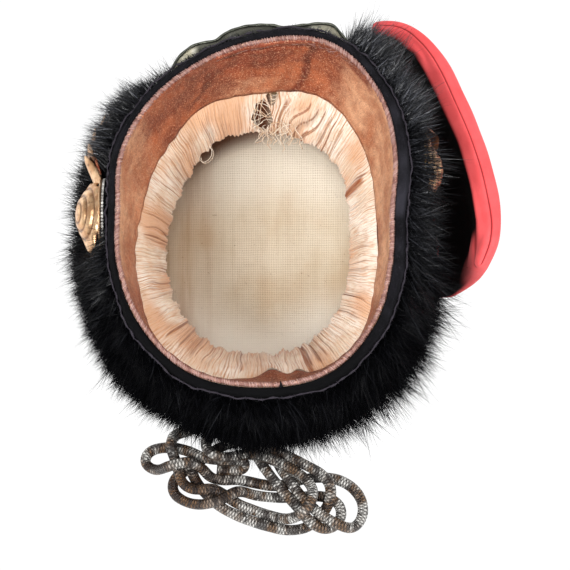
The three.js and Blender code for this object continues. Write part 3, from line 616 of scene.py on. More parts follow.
# ---------------------------------------------------------------- cap line
CORD_DIAMETER = 6.8
CORD_SIDES = 14
CORD_STEP = 0.9
EASING_PASSES = 26
PLAIT_PITCH = 1.9
PLAIT_STRANDS = 4
CAP_LINE = {
    "cap_line_outer": [
        (-9, -105, 3.7), (-4, -116.5, 3.7), (2, -128, 3.9), (9.5, -139, 9.3), (17.5, -149, 11.3),
        (26, -158, 10.8), (32.5, -166, 10.7), (40.5, -171, 8.3), (48.5, -169.5, 3.7), (53.5, -163, 3.7),
        (52, -155, 3.7), (41.5, -150, 3.7), (28.5, -150.5, 3.7), (14, -151, 3.7), (-1.5, -149.5, 4.3),
        (-12, -147.5, 10.9), (-22.5, -153, 11.8), (-34.5, -156, 9.3), (-45.5, -153.5, 4.3),
        (-53, -148, 3.7), (-53, -140, 3.7), (-45.5, -134, 3.7), (-36.5, -128, 3.7), (-28.5, -122, 5.3),
        (-18.5, -117.5, 8.3), (-7.5, -115.5, 10.7), (9, -120.5, 10.7), (29.5, -130.5, 10.7),
        (41, -137, 10.7), (46.5, -144.5, 11.3), (46, -153, 10.7), (41.5, -161, 4.3), (32, -169.5, 3.7),
        (19.5, -171.5, 3.7), (4, -168, 3.7), (-12, -162.5, 3.7), (-23.5, -156.5, 3.7),
        (-31.5, -149.5, 3.7), (-38.5, -141, 5), (-41.5, -134.5, 9.3)],
    "cap_line_inner": [
        (4.5, -104.8, 3.7), (8, -115.5, 3.7), (14, -130.5, 3.7), (21, -141.5, 10.3), (27.5, -150.5, 11.3),
        (34.5, -157.5, 10.9), (41.5, -163.5, 11.3), (51, -168.5, 10.7), (60.5, -170.5, 5.3),
        (66.5, -163.5, 3.7), (66.5, -153, 3.7), (60, -144, 3.7), (50, -139, 3.7), (38.5, -138, 3.7),
        (28, -139.5, 3.7), (18.5, -142.5, 3.7), (10.5, -143.5, 3.7), (0.5, -142, 3.7),
        (-12, -139.5, 3.7), (-22.5, -140, 3.9), (-29.5, -138.5, 6.3), (-34, -134, 12.5),
        (-42, -130, 17.3), (-53.5, -132, 16.5), (-65, -133.5, 3.9), (-71.5, -129, 3.7), (-69, -122, 3.7),
        (-58, -119, 3.7), (-45.5, -121, 6.3), (-32.5, -127, 11.9), (-18, -128, 10.3), (-8, -127.5, 6.3),
        (-7.5, -132.5, 3.9), (-16, -133.5, 3.9), (-25.5, -133, 4.3)],
    "cap_line_knot": [
        (-29.5, -100.8, 3.7), (-30.5, -111.5, 3.9), (-32.5, -119.5, 13.3), (-27, -126.5, 18.9),
        (-17, -127, 17.3), (-5.5, -124.5, 13.3), (9, -127.5, 11.9), (19, -132.5, 12.3),
        (29, -138.5, 11.3), (35, -146, 13.3), (34.5, -154, 18.3), (30, -161, 19.8), (22, -165, 12.3),
        (12.5, -163.5, 3.9), (-1.5, -159, 3.7), (-12, -155, 3.7), (-20, -149.5, 3.6), (-29, -146, 11.8),
        (-38.5, -147, 11.8), (-46.5, -143.5, 10.5), (-49, -137.5, 11.3), (-51, -129, 7.9),
        (-53.5, -123.5, 12), (-54.5, -117.5, 12.3), (-52.5, -111.5, 7.3), (-45, -109, 3.9),
        (-38.5, -106, 3.7), (-36, -99.8, 3.7)],
}


def make_cords():
    """The cap line as three braided lengths that meet in its knot."""
    braid = cord_material()
    for name, far_end in (("cap_line_outer", "knot"), ("cap_line_inner", "knot"), ("cap_line_knot", "object")):
        line = spline(CAP_LINE[name], CORD_STEP)
        line[:, 2] = np.maximum(line[:, 2], CORD_DIAMETER / 2 + 0.4)
        for _ in range(EASING_PASSES):
            line[1:-1] = 0.25 * line[:-2] + 0.5 * line[1:-1] + 0.25 * line[2:]
        along = lengths_along(line)
        about = np.arange(CORD_SIDES) / CORD_SIDES
        radius = CORD_DIAMETER / 2 * (1 + 0.03 * np.sin(along / 9.0) + 0.015 * np.sin(along / 2.3))
        points, quads, caps = tube(line, radius, CORD_SIDES)
        brown = smoothstep(-line[:, 0], 5, 40) * smoothstep(-line[:, 1], 128, 140)
        cap_along, cap_brown = (along[0], along[-1]), (brown[0], brown[-1])
        piece = build(
            name, points, quads, caps, [braid],
            along=np.concatenate([np.repeat(along, CORD_SIDES), cap_along]),
            about=np.concatenate([np.tile(about, len(line)), (0, 0)]),
            brown=np.concatenate([np.repeat(brown, CORD_SIDES), cap_brown]))
        piece.name = name + "_braid"
        mount(piece, "cap_line", name)


make_cords()


# ---------------------------------------------------------------- leather band
RIM_HEIGHT = 155.0
LEATHER_FOOT = 98.0
LEATHER_STEPS = 400
LEATHER_ROWS = 32
LEATHER_THICKNESS = 1.5


def leather_height(down):
    """Height on the leather band: down is 0 at the rim and 1 at its foot."""
    return RIM_HEIGHT - (RIM_HEIGHT - LEATHER_FOOT) * down


def foot_radius(bearing):
    """Radius where the silk is sewn to the leather; at the back the band stands nearly upright."""
    return ring(FOOT, bearing) + 3.6 * within(bearing, 268, 62, 36)


def silk_sag(bearing):
    """How far the leather's foot stands in, in two low arcs where the silk has come away at the back."""
    return 4.6 * spot(bearing, 276, 5.0) + 3.0 * spot(bearing, 286, 3.2)


def leather_radius(bearing, down):
    """Inner face of the leather band: down is 0 at the rim and 1 at its foot."""
    lean = 0.4 * down + 0.6 * down ** 2
    radius = ring(RIM, bearing) + (foot_radius(bearing) - ring(RIM, bearing)) * lean
    loose = smoothstep(down, 0.1, 0.5)
    radius = radius + 0.45 * loose * ripple(3, bearing, down, 3, 12, 10, 3.0)
    radius = radius + 0.16 * ripple(4, bearing, down, 20, 60, 20, 9.0)
    front = within(bearing, 89, 20, 12)
    fold = bump(down, 0.06, 0.05) * 1.3 - bump(down, 0.17, 0.035) * 1.1
    radius = radius - front * fold
    return radius - silk_sag(bearing) * smoothstep(down, 0.6, 1.0)


def make_leather():
    """Leather band with its rolled edge, as one closed form."""
    bearing = all_round(LEATHER_STEPS)
    down = 0.03 + 0.97 * np.linspace(0, 1, LEATHER_ROWS)[:, None] ** 1.4
    inner = leather_radius(bearing, down)
    inner_height = leather_height(down) + 0 * bearing
    roll = np.linspace(math.pi * 1.05, 0, 7)[:, None]
    rim = ring(RIM, bearing)
    edge = rim + 1.2 + 1.2 * np.cos(roll) + 0.15 * ripple(5, bearing, 0, 40, 100)
    edge_height = RIM_HEIGHT - 1.4 + 1.3 * np.sin(roll) + 0 * bearing
    outer_down = np.linspace(1, 0.06, 10)[:, None]
    outer = leather_radius(bearing, outer_down) + LEATHER_THICKNESS
    outer_height = leather_height(outer_down) + 0 * bearing
    radius = np.concatenate([edge, inner, outer])
    height = np.concatenate([edge_height, inner_height, outer_height])
    order = np.concatenate([np.arange(6, -1, -1), np.arange(7, len(radius))])
    radius, height = radius[order], height[order]
    share = np.clip((RIM_HEIGHT - height) / (RIM_HEIGHT - LEATHER_FOOT), 0, 1)
    turn = np.degrees(bearing) % 360 + 0 * height
    light = within(bearing, 12, 60, 36) * (1 - 0.35 * share)
    light = light + 0.7 * within(bearing, 178, 50, 25) * (1 - 0.3 * share)
    light = light + 0.5 * spot(bearing, 92, 26) * smoothstep(share, 0.55, 0.8)
    edging = 0.9 * (1 - smoothstep(share, 0.012, 0.03)) * (height > 151)
    red = 0.5 * spot(bearing, 112, 12)
    red = red + 0.95 * spot(bearing, 91, 20) * (1 - smoothstep(share, 0.3, 0.75))
    red = red + 0.75 * spot(bearing, 54, 10) * (1 - smoothstep(share, 0.12, 0.3))
    red = red + 0.9 * within(bearing, 262, 85, 30)
    red = red + 0.4 * spot(bearing, 127, 9) * (1 - smoothstep(share, 0.1, 0.4))
    red = red * (1 - 0.8 * spot(bearing, 279, 7) * smoothstep(share, 0.5, 0.75))
    slide = 68.5 + 8.0 * share
    dark = 0.62 * bump(turn, 108.5 + 5 * (share - 0.4) ** 2 * 9, 3.4) * smoothstep(share, 0.15, 0.35)
    dark = dark * (1 - smoothstep(share, 0.75, 1.0))
    dark = dark + 0.75 * bump(turn, slide + 1.4 * np.sin(share * 6), 1.9) * smoothstep(share, 0.03, 0.2)
    dark = dark + 0.4 * bump(turn, slide + 5, 3.5) * smoothstep(share, 0.2, 0.5)
    dark = dark + 0.5 * bump(turn, 99, 5.0) * bump(share, 0.36, 0.12)
    dark = dark + 0.3 * within(bearing, 262, 85, 30)
    # Painted shade: darker in the front crease and in a thin line just under the rolled edge.
    front = within(bearing, 88, 20, 12)
    dark = dark + 0.9 * front * bump(share, 0.17, 0.03) + 0.35 * bump(share, 0.02, 0.02)
    quads = grid_quads(len(order), LEATHER_STEPS, wrap_rows=True)
    piece = build("leather_band", ring_points(radius, bearing, height), quads, (), [leather_material()],
                  edge=edging + 0 * height, light=light + 0 * height, red=red + 0 * height, dark=dark + 0 * height)
    mount(piece, "sweatband", "sweatband")


SPLIT = 277.5  # bearing of the split in the rolled edge


def make_edge_split():
    """Small open split in the rolled edge at the back, with the black binding showing in it."""
    bearing, half = math.radians(SPLIT), 0.012
    corners = [(-0.7, 0, 152.4), (3.4, -half, 155.5), (3.4, half, 155.5), (-0.7, 0, 155.2)]
    places = [ring_points(ring(RIM, bearing) + out, bearing + turn, z) for out, turn, z in corners]
    heap = Heap()
    heap.add(places, (), [(0, 2, 1), (0, 1, 3), (0, 3, 2), (1, 2, 3)])
    mount(heap.piece("edge_split", [band_material()], smooth=False), "sweatband")


def make_leather_stitches():
    """Whip stitches over the rolled edge, and the broken second row along the front crease."""
    rng = np.random.default_rng(11)
    heap = Heap()
    table = np.linspace(0, TAU, 3600)
    arc = lengths_along(ring_points(ring(RIM, table), table, 0.0))
    places = np.interp(np.arange(0, arc[-1], 1.3), arc, table)
    for at in places:
        if rng.random() < 0.05 or abs(degrees_from(at, SPLIT)) < 0.7:
            continue
        slant = (2.0 + rng.normal(0, 0.4)) / ring(RIM, at)
        share = np.linspace(0, 1, 7)
        over = np.linspace(math.pi * 1.2, -0.3, 7)
        bearing = at + rng.normal(0, 0.002) + slant * (share - 0.5)
        reach = 1.45 + rng.normal(0, 0.08)
        radius = ring(RIM, bearing) + 1.2 + reach * np.cos(over)
        height = RIM_HEIGHT - 1.4 + reach * np.sin(over)
        thick = 0.27 * np.sin(np.linspace(0.35, math.pi - 0.35, 7)) + 0.1
        heap.thread(ring_points(radius, bearing, height), thick, tone=rng.random())
    for at in np.radians(np.arange(74, 105, 1.05)):
        if rng.random() < 0.35:
            continue
        down = 0.115 + rng.normal(0, 0.012)
        share = np.linspace(-0.5, 0.5, 4)
        bearing = at + share * 0.013
        slope = down + share * rng.normal(0.02, 0.012)
        radius = leather_radius(bearing, slope) - 0.15
        heap.thread(ring_points(radius, bearing, leather_height(slope)), 0.2,
                    tone=rng.random())
    for _ in range(16):
        at, down = math.radians(rng.uniform(58, 72)), rng.uniform(0.03, 0.12)
        share = np.linspace(0, 1, 6)
        bearing = at + share * rng.normal(0, 0.03)
        slope = np.clip(down + share * rng.normal(0.03, 0.04), 0.02, 0.25)
        lift = 0.3 + 0.8 * np.sin(share * math.pi)
        radius = leather_radius(bearing, slope) - lift
        heap.thread(ring_points(radius, bearing, leather_height(slope)), 0.14,
                    tone=rng.random())
    piece = heap.piece("leather_edge_stitches", [thread_material("edge_thread", colour(124, 84, 76),
                                                                  colour(184, 150, 142))])
    mount(piece, "sweatband")


make_leather()
make_leather_stitches()
make_edge_split()


# ---------------------------------------------------------------- silk
SILK_STEPS = 1800
SILK_ROWS = 24
LIP_ROWS = 5
THROAT_HEIGHT = 70.0
HOLES = [
    np.array([(-4, 75), (-1, 82), (4, 84.5), (8, 79), (9.5, 74), (3, 70.5)], float),
    np.array([(5, 86), (9, 90.5), (12.5, 87), (10.5, 82), (7, 81.5)], float),
]


def loose_folds():
    """Soft folds where the string holds the silk unevenly, as rows of bearing, width and rise."""
    rng = np.random.default_rng(29)
    return [(rng.uniform(128, 346), rng.uniform(0.5, 1.1), rng.uniform(0.6, 1.5)) for _ in range(46)]


FOLDS = loose_folds()


def silk_form(foot, throat, down):
    """Radius and height of the smooth silk between its foot and its drawn edge."""
    height = LEATHER_FOOT - 0.5 - (LEATHER_FOOT - THROAT_HEIGHT) * (0.55 * down + 0.45 * down ** 2.2)
    return foot + (throat - foot) * (0.9 * down + 0.1 * down ** 2), height


def silk_surface(bearing, down):
    """Radius and height of the silk: down is 0 at the hem under the leather and 1 at the drawn edge."""
    warp = 0.010 * ripple(21, bearing, down, 5, 18, 12, 4.0)
    swirl = spot(bearing, 70, 7) * 0.09 * np.sin(down * 5.0)
    around = bearing + warp * smoothstep(down, 0.0, 0.6) + swirl
    gather = 0.62 * ripple(22, around, down, 150, 330, 40, 1.2) + 0.38 * ripple(23, around, down, 330, 450, 30, 1.5)
    broad = ripple(24, around, down, 24, 60, 20, 1.0)
    foot = foot_radius(bearing) + 0.8 - 1.7 * silk_sag(bearing)
    throat = ring(THROAT, bearing) + 0.5 * ripple(25, bearing, 0, 18, 50) + 0.25 * ripple(26, bearing, 0, 90, 200)
    radius, height = silk_form(foot, throat, down)
    depth = 0.2 + 0.4 * smoothstep(down, 0.1, 0.9)
    rise = depth * gather + 0.8 * smoothstep(down, 0.1, 0.8) * broad
    crease = 0
    for middle, width, tall in (*FOLDS, (28.5, 1.3, 3.0), (26.3, 0.8, -1.6), (294, 1.6, 3.4), (291, 1.0, -3.0),
                                (297.5, 1.3, -1.5), (70, 2.2, 2.6), (65, 1.6, -1.8), (60.5, 1.8, 2.4),
                                (57.2, 1.1, -1.6), (54.5, 1.2, 2.0), (77, 2.4, 1.8), (49, 2.2, 1.2),
                                (114, 1.4, 1.4), (228, 1.3, 1.4), (240, 1.6, -1.2), (204, 1.2, 1.2),
                                (219, 1.2, -1.0), (352, 1.5, 1.0), (318, 1.5, -1.2), (6, 1.2, -0.9)):
        lean = degrees_from(around, middle)
        held = smoothstep(down, 0.1, 0.45)
        rise = rise + tall * bump(lean, 0, width) * held
        # Painted shadow beside each fold, kept as crease.
        crease = crease + abs(tall) * 0.5 * bump(lean, 1.15 * width, 0.3 * width) * held
    return radius - 0.25 * rise, height + 0.9 * rise, gather, crease


def make_silk():
    """Gathered silk ring with its turned lip, open at the tears."""
    bearing = all_round(SILK_STEPS)
    down = np.linspace(0, 1, SILK_ROWS)[:, None]
    radius, height, gather, crease = silk_surface(bearing, down)
    lip = np.linspace(0.15, 1, LIP_ROWS)[:, None] * math.pi
    lip_radius = radius[-1:] + 1.5 * (1 - np.cos(lip)) - 0.9 * np.sin(lip)
    lip_height = height[-1:] - 1.7 * np.sin(lip) - 0.7 * (1 - np.cos(lip))
    radius = np.concatenate([radius, lip_radius])
    height = np.concatenate([height, lip_height])
    gather = np.concatenate([gather, np.repeat(gather[-1:], LIP_ROWS, 0)])
    down = np.concatenate([down, np.ones((LIP_ROWS, 1))])
    points = ring_points(radius, bearing, height)
    aged = 0.35 * ripple(31, bearing, down, 4, 14, 16, 4.0) + 0.15
    crease = np.concatenate([crease, np.repeat(crease[-1:], LIP_ROWS, 0)])
    # Painted shade: the silk's left and lower side, about bearings 120 to 310, is darker; the other terms are ageing.
    aged = aged + 0.35 * within(bearing, 215, 95, 40)
    aged = aged + 0.6 * spot(bearing, 173, 8) * smoothstep(down, 0.2, 0.6)
    aged = aged + 0.6 * spot(bearing, 104, 7) + (0.975 - 0.6 * down) * spot(bearing, 118, 16)
    aged = aged + 0.45 * smoothstep(down, 0.82, 1.0) * (0.5 + 0.5 * ripple(32, bearing, 0, 12, 40))
    rust = 0.9 * spot(bearing, 28, 2.2) * smoothstep(down, 0.2, 0.5)
    rust = rust + 0.8 * spot(bearing, 291, 1.2) + 0.35 * spot(bearing, 82, 3)
    rust = rust + 0.3 * smoothstep(down, 0.9, 1.0) * (ripple(33, bearing, 0, 8, 30) > 0.9)
    # How strongly the painted shade of the gathers shows, strongest near bearing 116.
    pleated = 0.42 + 0.3 * ripple(34, bearing, down, 6, 22, 20, 1.5) + 0.55 * spot(bearing, 116, 26)
    pleated = np.clip(pleated, 0.08, 1.0)
    flat = np.broadcast_to(np.degrees(bearing) % 360, height.shape)
    quads = grid_quads(len(radius), SILK_STEPS)
    middle = points.reshape(-1, 3)[quads].mean(axis=1)
    keep = np.ones(len(quads), bool)
    for outline in HOLES:
        keep &= ~inside(middle[:, :2], outline)
    piece = build("silk_ring", points, quads[keep], (), [silk_material()], gather=gather, crease=crease,
                  pleated=pleated + 0 * height, aged=aged + 0 * height, rust=rust + 0 * height, round=flat,
                  down=down + 0 * height)
    mount(piece, "silk_lining", "silk_lining")
    return piece


def inside(points, outline):
    """Which points lie inside an outline in plan."""
    found = np.zeros(len(points), bool)
    for (x1, y1), (x2, y2) in zip(outline, np.roll(outline, -1, axis=0)):
        crosses = (y1 > points[:, 1]) != (y2 > points[:, 1])
        found ^= crosses & (points[:, 0] < (x2 - x1) * (points[:, 1] - y1) / (y2 - y1 + 1e-12) + x1)
    return found


def silk_height(x, y):
    """Height of the silk above a place in plan."""
    bearing, radius = math.atan2(y, x), math.hypot(x, y)
    down = np.linspace(0, 1, 25)
    radii, heights, _, _ = silk_surface(np.full(25, bearing), down)
    return float(np.interp(-radius, -radii, heights))


def make_silk_threads():
    """Frayed warp threads across the tears, tatters on the drawn edge and the loose loop."""
    rng = np.random.default_rng(41)
    heap = Heap()
    for outline, count in ((HOLES[0], 15), (HOLES[1], 6)):
        centre = outline.mean(axis=0)
        for _ in range(count):
            first, second = rng.choice(len(outline), 2, replace=False)
            a = outline[first] + (outline[(first + 1) % len(outline)] - outline[first]) * rng.random()
            b = outline[second] + (outline[(second + 1) % len(outline)] - outline[second]) * rng.random()
            a, b = centre + (a - centre) * 1.15, centre + (b - centre) * rng.uniform(0.3, 1.15)
            share = np.linspace(0, 1, 9)[:, None]
            flat = a + (b - a) * share + rng.normal(0, 0.8, 2) * np.sin(share * math.pi)
            top = silk_height(*a) + 0.5 + (silk_height(*b) - silk_height(*a)) * share[:, 0]
            top = top + rng.uniform(-1.5, 1.2) * np.sin(share[:, 0] * math.pi)
            heap.thread(np.column_stack([flat, top]), rng.uniform(0.13, 0.27), tone=rng.random())
    for _ in range(36):
        turn = math.radians(rng.normal(80, 6))
        root, _, _, _ = silk_surface(np.array([turn]), np.array([rng.uniform(0.75, 1.0)]))
        length = rng.uniform(4, 11)
        share = np.linspace(0, 1, 8)
        bearing = turn + rng.normal(0, 0.06) * share + 0.03 * np.sin(share * rng.uniform(3, 8) + rng.uniform(0, 6))
        radius = root[0] - length * share
        height = silk_height(root[0] * math.cos(turn), root[0] * math.sin(turn)) + 0.4 - 5.5 * share ** 1.5
        heap.thread(ring_points(radius, bearing, height), rng.uniform(0.12, 0.24), tone=rng.random())
    for _ in range(30):
        turn = math.radians(rng.uniform(50, 88))
        low = rng.uniform(0.35, 0.95)
        share = np.linspace(0, 1, 10)
        bearing = turn + rng.normal(0, 0.05) * share
        down = np.clip(low + rng.normal(0, 0.22) * share, 0.05, 1)
        radius, height, _, _ = silk_surface(bearing, down)
        heap.thread(ring_points(radius, bearing, height + 0.25 + rng.uniform(0.1, 1.3) * np.sin(share * math.pi)),
                    rng.uniform(0.08, 0.15), tone=rng.random())
    loop = spline([(-30, 60, 73.5), (-28.5, 57, 72), (-29.5, 53.5, 70), (-33, 51, 69), (-35.5, 51.5, 69.5),
                   (-36, 54, 71)], 0.8)
    heap.thread(loop, 0.16, tone=0.9)
    heap.thread(loop + (1.0, -0.8, 0.2), 0.13, tone=0.7)
    piece = heap.piece("silk_threads", [thread_material("silk_thread", colour(226, 190, 152), colour(250, 240, 222))])
    mount(piece, "silk_lining")


def make_hole_backing():
    """Brown inner cloth under the tears at the front; its dark colour is partly painted shade inside the tears."""
    bearing = np.radians(np.linspace(76, 100, 60))[None, :]
    down = np.linspace(0.03, 0.86, 24)[:, None]
    radius, smooth = silk_form(foot_radius(bearing) + 0.8, ring(THROAT, bearing), down)
    height = smooth - 4.2 + 0.5 * ripple(43, bearing, down, 20, 60, 16, 6.0)
    upper = ring_points(radius, bearing, height)
    lower = ring_points(radius, bearing, height - 0.6)
    points = np.concatenate([upper, lower[::-1]])
    quads = grid_quads(48, 60, wrap_rows=True, wrap_steps=False)
    piece = build("torn_inner_cloth", points, quads, (), [
        canvas_material("brown_inner_cloth", colour(104, 52, 30), colour(70, 32, 18), 0.0)])
    mount(piece, "silk_lining")


silk = make_silk()
make_silk_threads()
make_hole_backing()


# ---------------------------------------------------------------- inner crown and body
def make_canvas():
    """Inner crown of coarse canvas, a little slack, over the crown's own disc."""
    steps, rows = 160, 28
    bearing = all_round(steps)
    share = np.linspace(0, 1, rows)[:, None]
    radius = (ring(RIM, bearing) + 0.4) * share
    slack = 0.5 + 0.5 * ripple(51, bearing, share, 1, 4, 8, 3.0) * share * (1 - share) * 2
    height = 5.35 + np.clip(slack, 0, 2) * (1 - share ** 6)
    points = ring_points(radius, bearing, height)
    under = ring_points(radius[-1:], bearing, 3.35)
    points = np.concatenate([points, under])
    quads = grid_quads(rows + 1, steps)
    edge = np.linalg.norm(points[..., :2], axis=-1) / (ring(RIM, bearing) + 0.4)
    # Painted shade: dark brown towards the crown's edge, under the silk.
    soiled = 0.9 * smoothstep(edge, 0.76, 0.9)
    # Painted shade: brown bands down the left side of the crown.
    brown = 0.55 * smoothstep(-points[..., 0], 18, 46)
    # Painted light: paler towards the front and the back of the crown.
    ends = 0.6 * smoothstep(points[..., 1], 15, 60) + smoothstep(-points[..., 1], 5, 50)
    cloth = canvas_material("crown_canvas", colour(240, 226, 202), colour(228, 210, 182))
    piece = build("inner_crown", points, quads, (), [cloth], soiled=soiled, brown=brown,
                  pale=smoothstep(edge, 0.2, 0.6) * ends)
    mount(piece, "body_lining", "crown_lining")


def make_wall():
    """Stiff canvas wall between the leather and the pelt, slightly uneven, with soft edges."""
    steps = 160
    bearing = all_round(steps)
    height = np.concatenate([[5.7, 6.4], np.linspace(9, 147, 20), [150.2, 150.9]])[:, None]
    rounded = np.concatenate([[0.5, 0.15], np.zeros(20), [0.15, 0.5]])[:, None]
    face = ring(RIM, bearing) + 1 + 5.7 * np.minimum((height - 3.3) / 126.7, 1)
    face = face + 0.12 * ripple(55, bearing, height / 20, 4, 30, 16, 1.0)
    radius = np.concatenate([face - rounded, (face - 2 + rounded)[::-1]])
    height = np.concatenate([height, height[::-1]])
    piece = build("stiff_wall", ring_points(radius, bearing, height), grid_quads(len(radius), steps, wrap_rows=True),
                  (), [canvas_material("wall_canvas", colour(206, 184, 152), colour(190, 160, 124))])
    mount(piece, "body_lining", "body_lining")


def make_crown():
    """Red cloth crown under the cap, with a soft turned edge and a line of stitches inside it."""
    steps = 200
    bearing = all_round(steps)
    edge = ring(RIM, bearing) + 0.9
    rows = np.array([(0.02, 3.1), (0.5, 3.1), (0.97, 3.1), (0.992, 2.8), (1, 1.7), (0.996, 0.7), (0.985, 0.25),
                     (0.965, 0.12), (0.955, 0.55), (0.945, 0.14), (0.8, 0.1), (0.6, 0.1), (0.4, 0.1), (0.2, 0.1),
                     (0.02, 0.1)])
    share = rows[:, :1]
    radius = edge * share
    height = rows[:, 1:] + 0.05 * (1 + ripple(57, bearing, share, 2, 9, 10, 2.0)) * (share < 0.9)
    points = ring_points(radius, bearing, np.maximum(height, 0.08))
    piece = build("crown_disc", points, grid_quads(len(rows), steps, wrap_rows=True), (),
                  [red_cloth_material("crown_cloth", colour(150, 20, 28), colour(176, 30, 38))],
                  seam=bump(share, 0.955, 0.008) + 0 * radius)
    mount(piece, "crown_cloth", "crown_cloth")
    heap = Heap()
    for at in np.arange(0, 360, 1.6):
        turn = math.radians(at) + np.linspace(0, 0.014, 4)
        lift = 0.42 - 0.25 * np.sin(np.linspace(0, math.pi, 4))
        heap.thread(ring_points((ring(RIM, turn) + 0.9) * 0.955, turn, lift), 0.16, 4, tone=0.3)
    thread = thread_material("crown_thread", colour(96, 14, 20), colour(150, 40, 44))
    mount(heap.piece("crown_stitches", [thread]), "crown_cloth")


make_canvas()
make_wall()
make_crown()


# ---------------------------------------------------------------- black binding
def band_out(bearing):
    """Outer edge of the binding, measured from the leather's inner edge."""
    wide = 8.2 + 1.6 * within(bearing, 355, 70, 30)
    wide = wide - 0.9 * within(bearing, 90, 48, 24)
    wide = wide - 1.4 * within(bearing, 175, 62, 35)
    return np.maximum(wide + 0.35 * ripple(61, bearing, 0, 5, 16), 7.0)


def make_band():
    """Black binding over the edge of the wall and the pelt."""
    steps = 600
    bearing = all_round(steps)
    rim, wide = ring(RIM, bearing), band_out(bearing)
    across = np.linspace(0, 1, 12)[:, None]
    top = 153.4 + 0.9 * np.sin(across * math.pi) ** 0.6 - 2.2 * smoothstep(across, 0.7, 1.0)
    crumple = 0.28 * ripple(62, bearing, across, 30, 90, 24, 5.0) + 0.3 * ripple(63, bearing, across, 8, 24, 12, 3.0)
    top = top + crumple * np.sin(across * math.pi)
    radius = rim + 2.9 + (wide - 2.9) * across
    side_down = np.linspace(0, 1, 7)[1:, None]
    side = rim + wide + 0 * side_down
    side_height = top[-1:] - (top[-1:] - 134) * side_down
    inner_height = 134 + (top[:1] - 134) * np.linspace(0, 1, 5)[:-1, None]
    inner = rim + 2.9 + 0 * inner_height
    radius = np.concatenate([radius, side, inner])
    height = np.concatenate([top, side_height, inner_height])
    # Wear, with a painted sheen that makes the right side, near bearing 10, lighter grey.
    worn = 0.3 * ripple(64, bearing, height / 8, 6, 30, 20, 1.0) + 0.8 * spot(bearing, 10, 45) - 0.2
    piece = build("rim_binding", ring_points(radius, bearing, height), grid_quads(len(radius), steps, wrap_rows=True),
                  (), [band_material()], worn=worn + 0 * height,
                  # Painted shade blackens the back, about bearing 255.
                  deep=0.9 * within(bearing, 255, 80, 35) + 0 * height)
    mount(piece, "rim_band", "rim_band")


def make_band_seam():
    """Wavy sewn edge where the binding meets the pelt."""
    bearing = np.linspace(0, TAU, 900)
    wave = 0.5 * ripple(65, bearing, 0, 12, 40) + 0.3 * ripple(66, bearing, 0, 40, 90)
    radius = ring(RIM, bearing) + band_out(bearing) + 0.7 + 0.6 * wave
    height = 151.6 + 0.5 * ripple(67, bearing, 0, 8, 30)
    line = ring_points(radius, bearing, height)
    heap = Heap()
    heap.thread(line, 0.5 + 0.12 * ripple(68, bearing, 0, 60, 140), 6, tone=0.5)
    rng = np.random.default_rng(69)
    for at in np.arange(0, 899, 3):
        if rng.random() < 0.3:
            continue
        turn = bearing[at]
        share = np.linspace(-1, 1, 5)
        reach = radius[at] + 1.1 * share
        lift = height[at] + 0.55 * (1 - share ** 2)
        heap.thread(ring_points(reach, turn + 0.004 * share, lift), 0.14, 4, tone=rng.random())
    piece = heap.piece("binding_seam", [thread_material("seam_thread", colour(26, 24, 30), colour(58, 54, 64))])
    mount(piece, "rim_band")


make_band()
make_band_seam()


# ---------------------------------------------------------------- fur
FUR_FOOT, FUR_TOP = 9.0, 147.0
TIP_LOW, TIP_HIGH = 0.8, 166  # hair tips stay between these heights
HAIR_SPREAD_RADIUS = 115
SEAT_RADIUS = 21
PROFILE = np.array([(9, 0.80), (16, 0.84), (30, 0.885), (60, 0.905), (90, 0.9), (98, 0.89), (108, 0.875),
                    (120, 0.845), (138, 0.79), (147, 0.75)])
SIDES = [
    {"name": "right", "way": -1, "seat": 88.9, "y": 3.0},
    {"name": "left", "way": 1, "seat": 97.0, "y": 30.0},
]
SIDE_HEIGHT = 126.0


def badge_press(bearing, height):
    """How far the badge presses the pelt flat, 0 to 1."""
    turn = np.degrees(bearing) % 360
    across = smoothstep(turn, 44, 56) * (1 - smoothstep(turn, 124, 136))
    return across * smoothstep(height, 86, 107)


def pelt_radius(bearing, height):
    """Radius of the pelt under its hair."""
    share = np.interp(height, PROFILE[:, 0], PROFILE[:, 1])
    free = np.maximum(ring(FUR, bearing) * share, ring(RIM, bearing) + band_out(bearing) + 1.2)
    pressed = ring(RIM, bearing) + 9.2
    press = badge_press(bearing, height)
    radius = free + (pressed - free) * press
    inner_limit = ring(RIM, bearing) + np.maximum(band_out(bearing), 8.2) + 0.9
    return np.maximum(radius, inner_limit)


def near_side(points, grow):
    """Which points lie over a rosette's round seat."""
    found = np.zeros(len(points), bool)
    for side in SIDES:
        off = np.hypot(points[:, 1] - side["y"], points[:, 2] - SIDE_HEIGHT)
        found |= (off < SEAT_RADIUS + grow) & (points[:, 0] * side["way"] > 60)
    return found


def make_pelt():
    """Dark skin under the hair, flat where the rosettes sit."""
    steps, rows = 180, 28
    bearing = all_round(steps)
    height = np.linspace(FUR_FOOT, FUR_TOP, rows)[:, None]
    radius = pelt_radius(bearing, height + 0 * bearing) - 0.5
    points = ring_points(radius, bearing, height)
    flat = points.reshape(-1, 3)
    for side in SIDES:
        hit = (np.hypot(flat[:, 1] - side["y"], flat[:, 2] - SIDE_HEIGHT) < 23) & (flat[:, 0] * side["way"] > 60)
        flat[hit, 0] = side["way"] * np.minimum(flat[hit, 0] * side["way"], side["seat"] - 0.6)
    top = ring_points(ring(RIM, bearing) + 8.6, bearing, FUR_TOP)
    foot = ring_points(ring(RIM, bearing) + 2.0, bearing, FUR_FOOT)
    points = np.concatenate([foot, flat.reshape(-1, steps, 3), top])
    piece = build("pelt", points, grid_quads(rows + 2, steps), (),
                  [fur_material("pelt_skin", (0.0035, 0.0035, 0.004, 1), (0.006, 0.006, 0.007, 1), 0.75)],
                  tone=np.zeros((rows + 2) * steps))
    mount(piece, "fur", "fur")


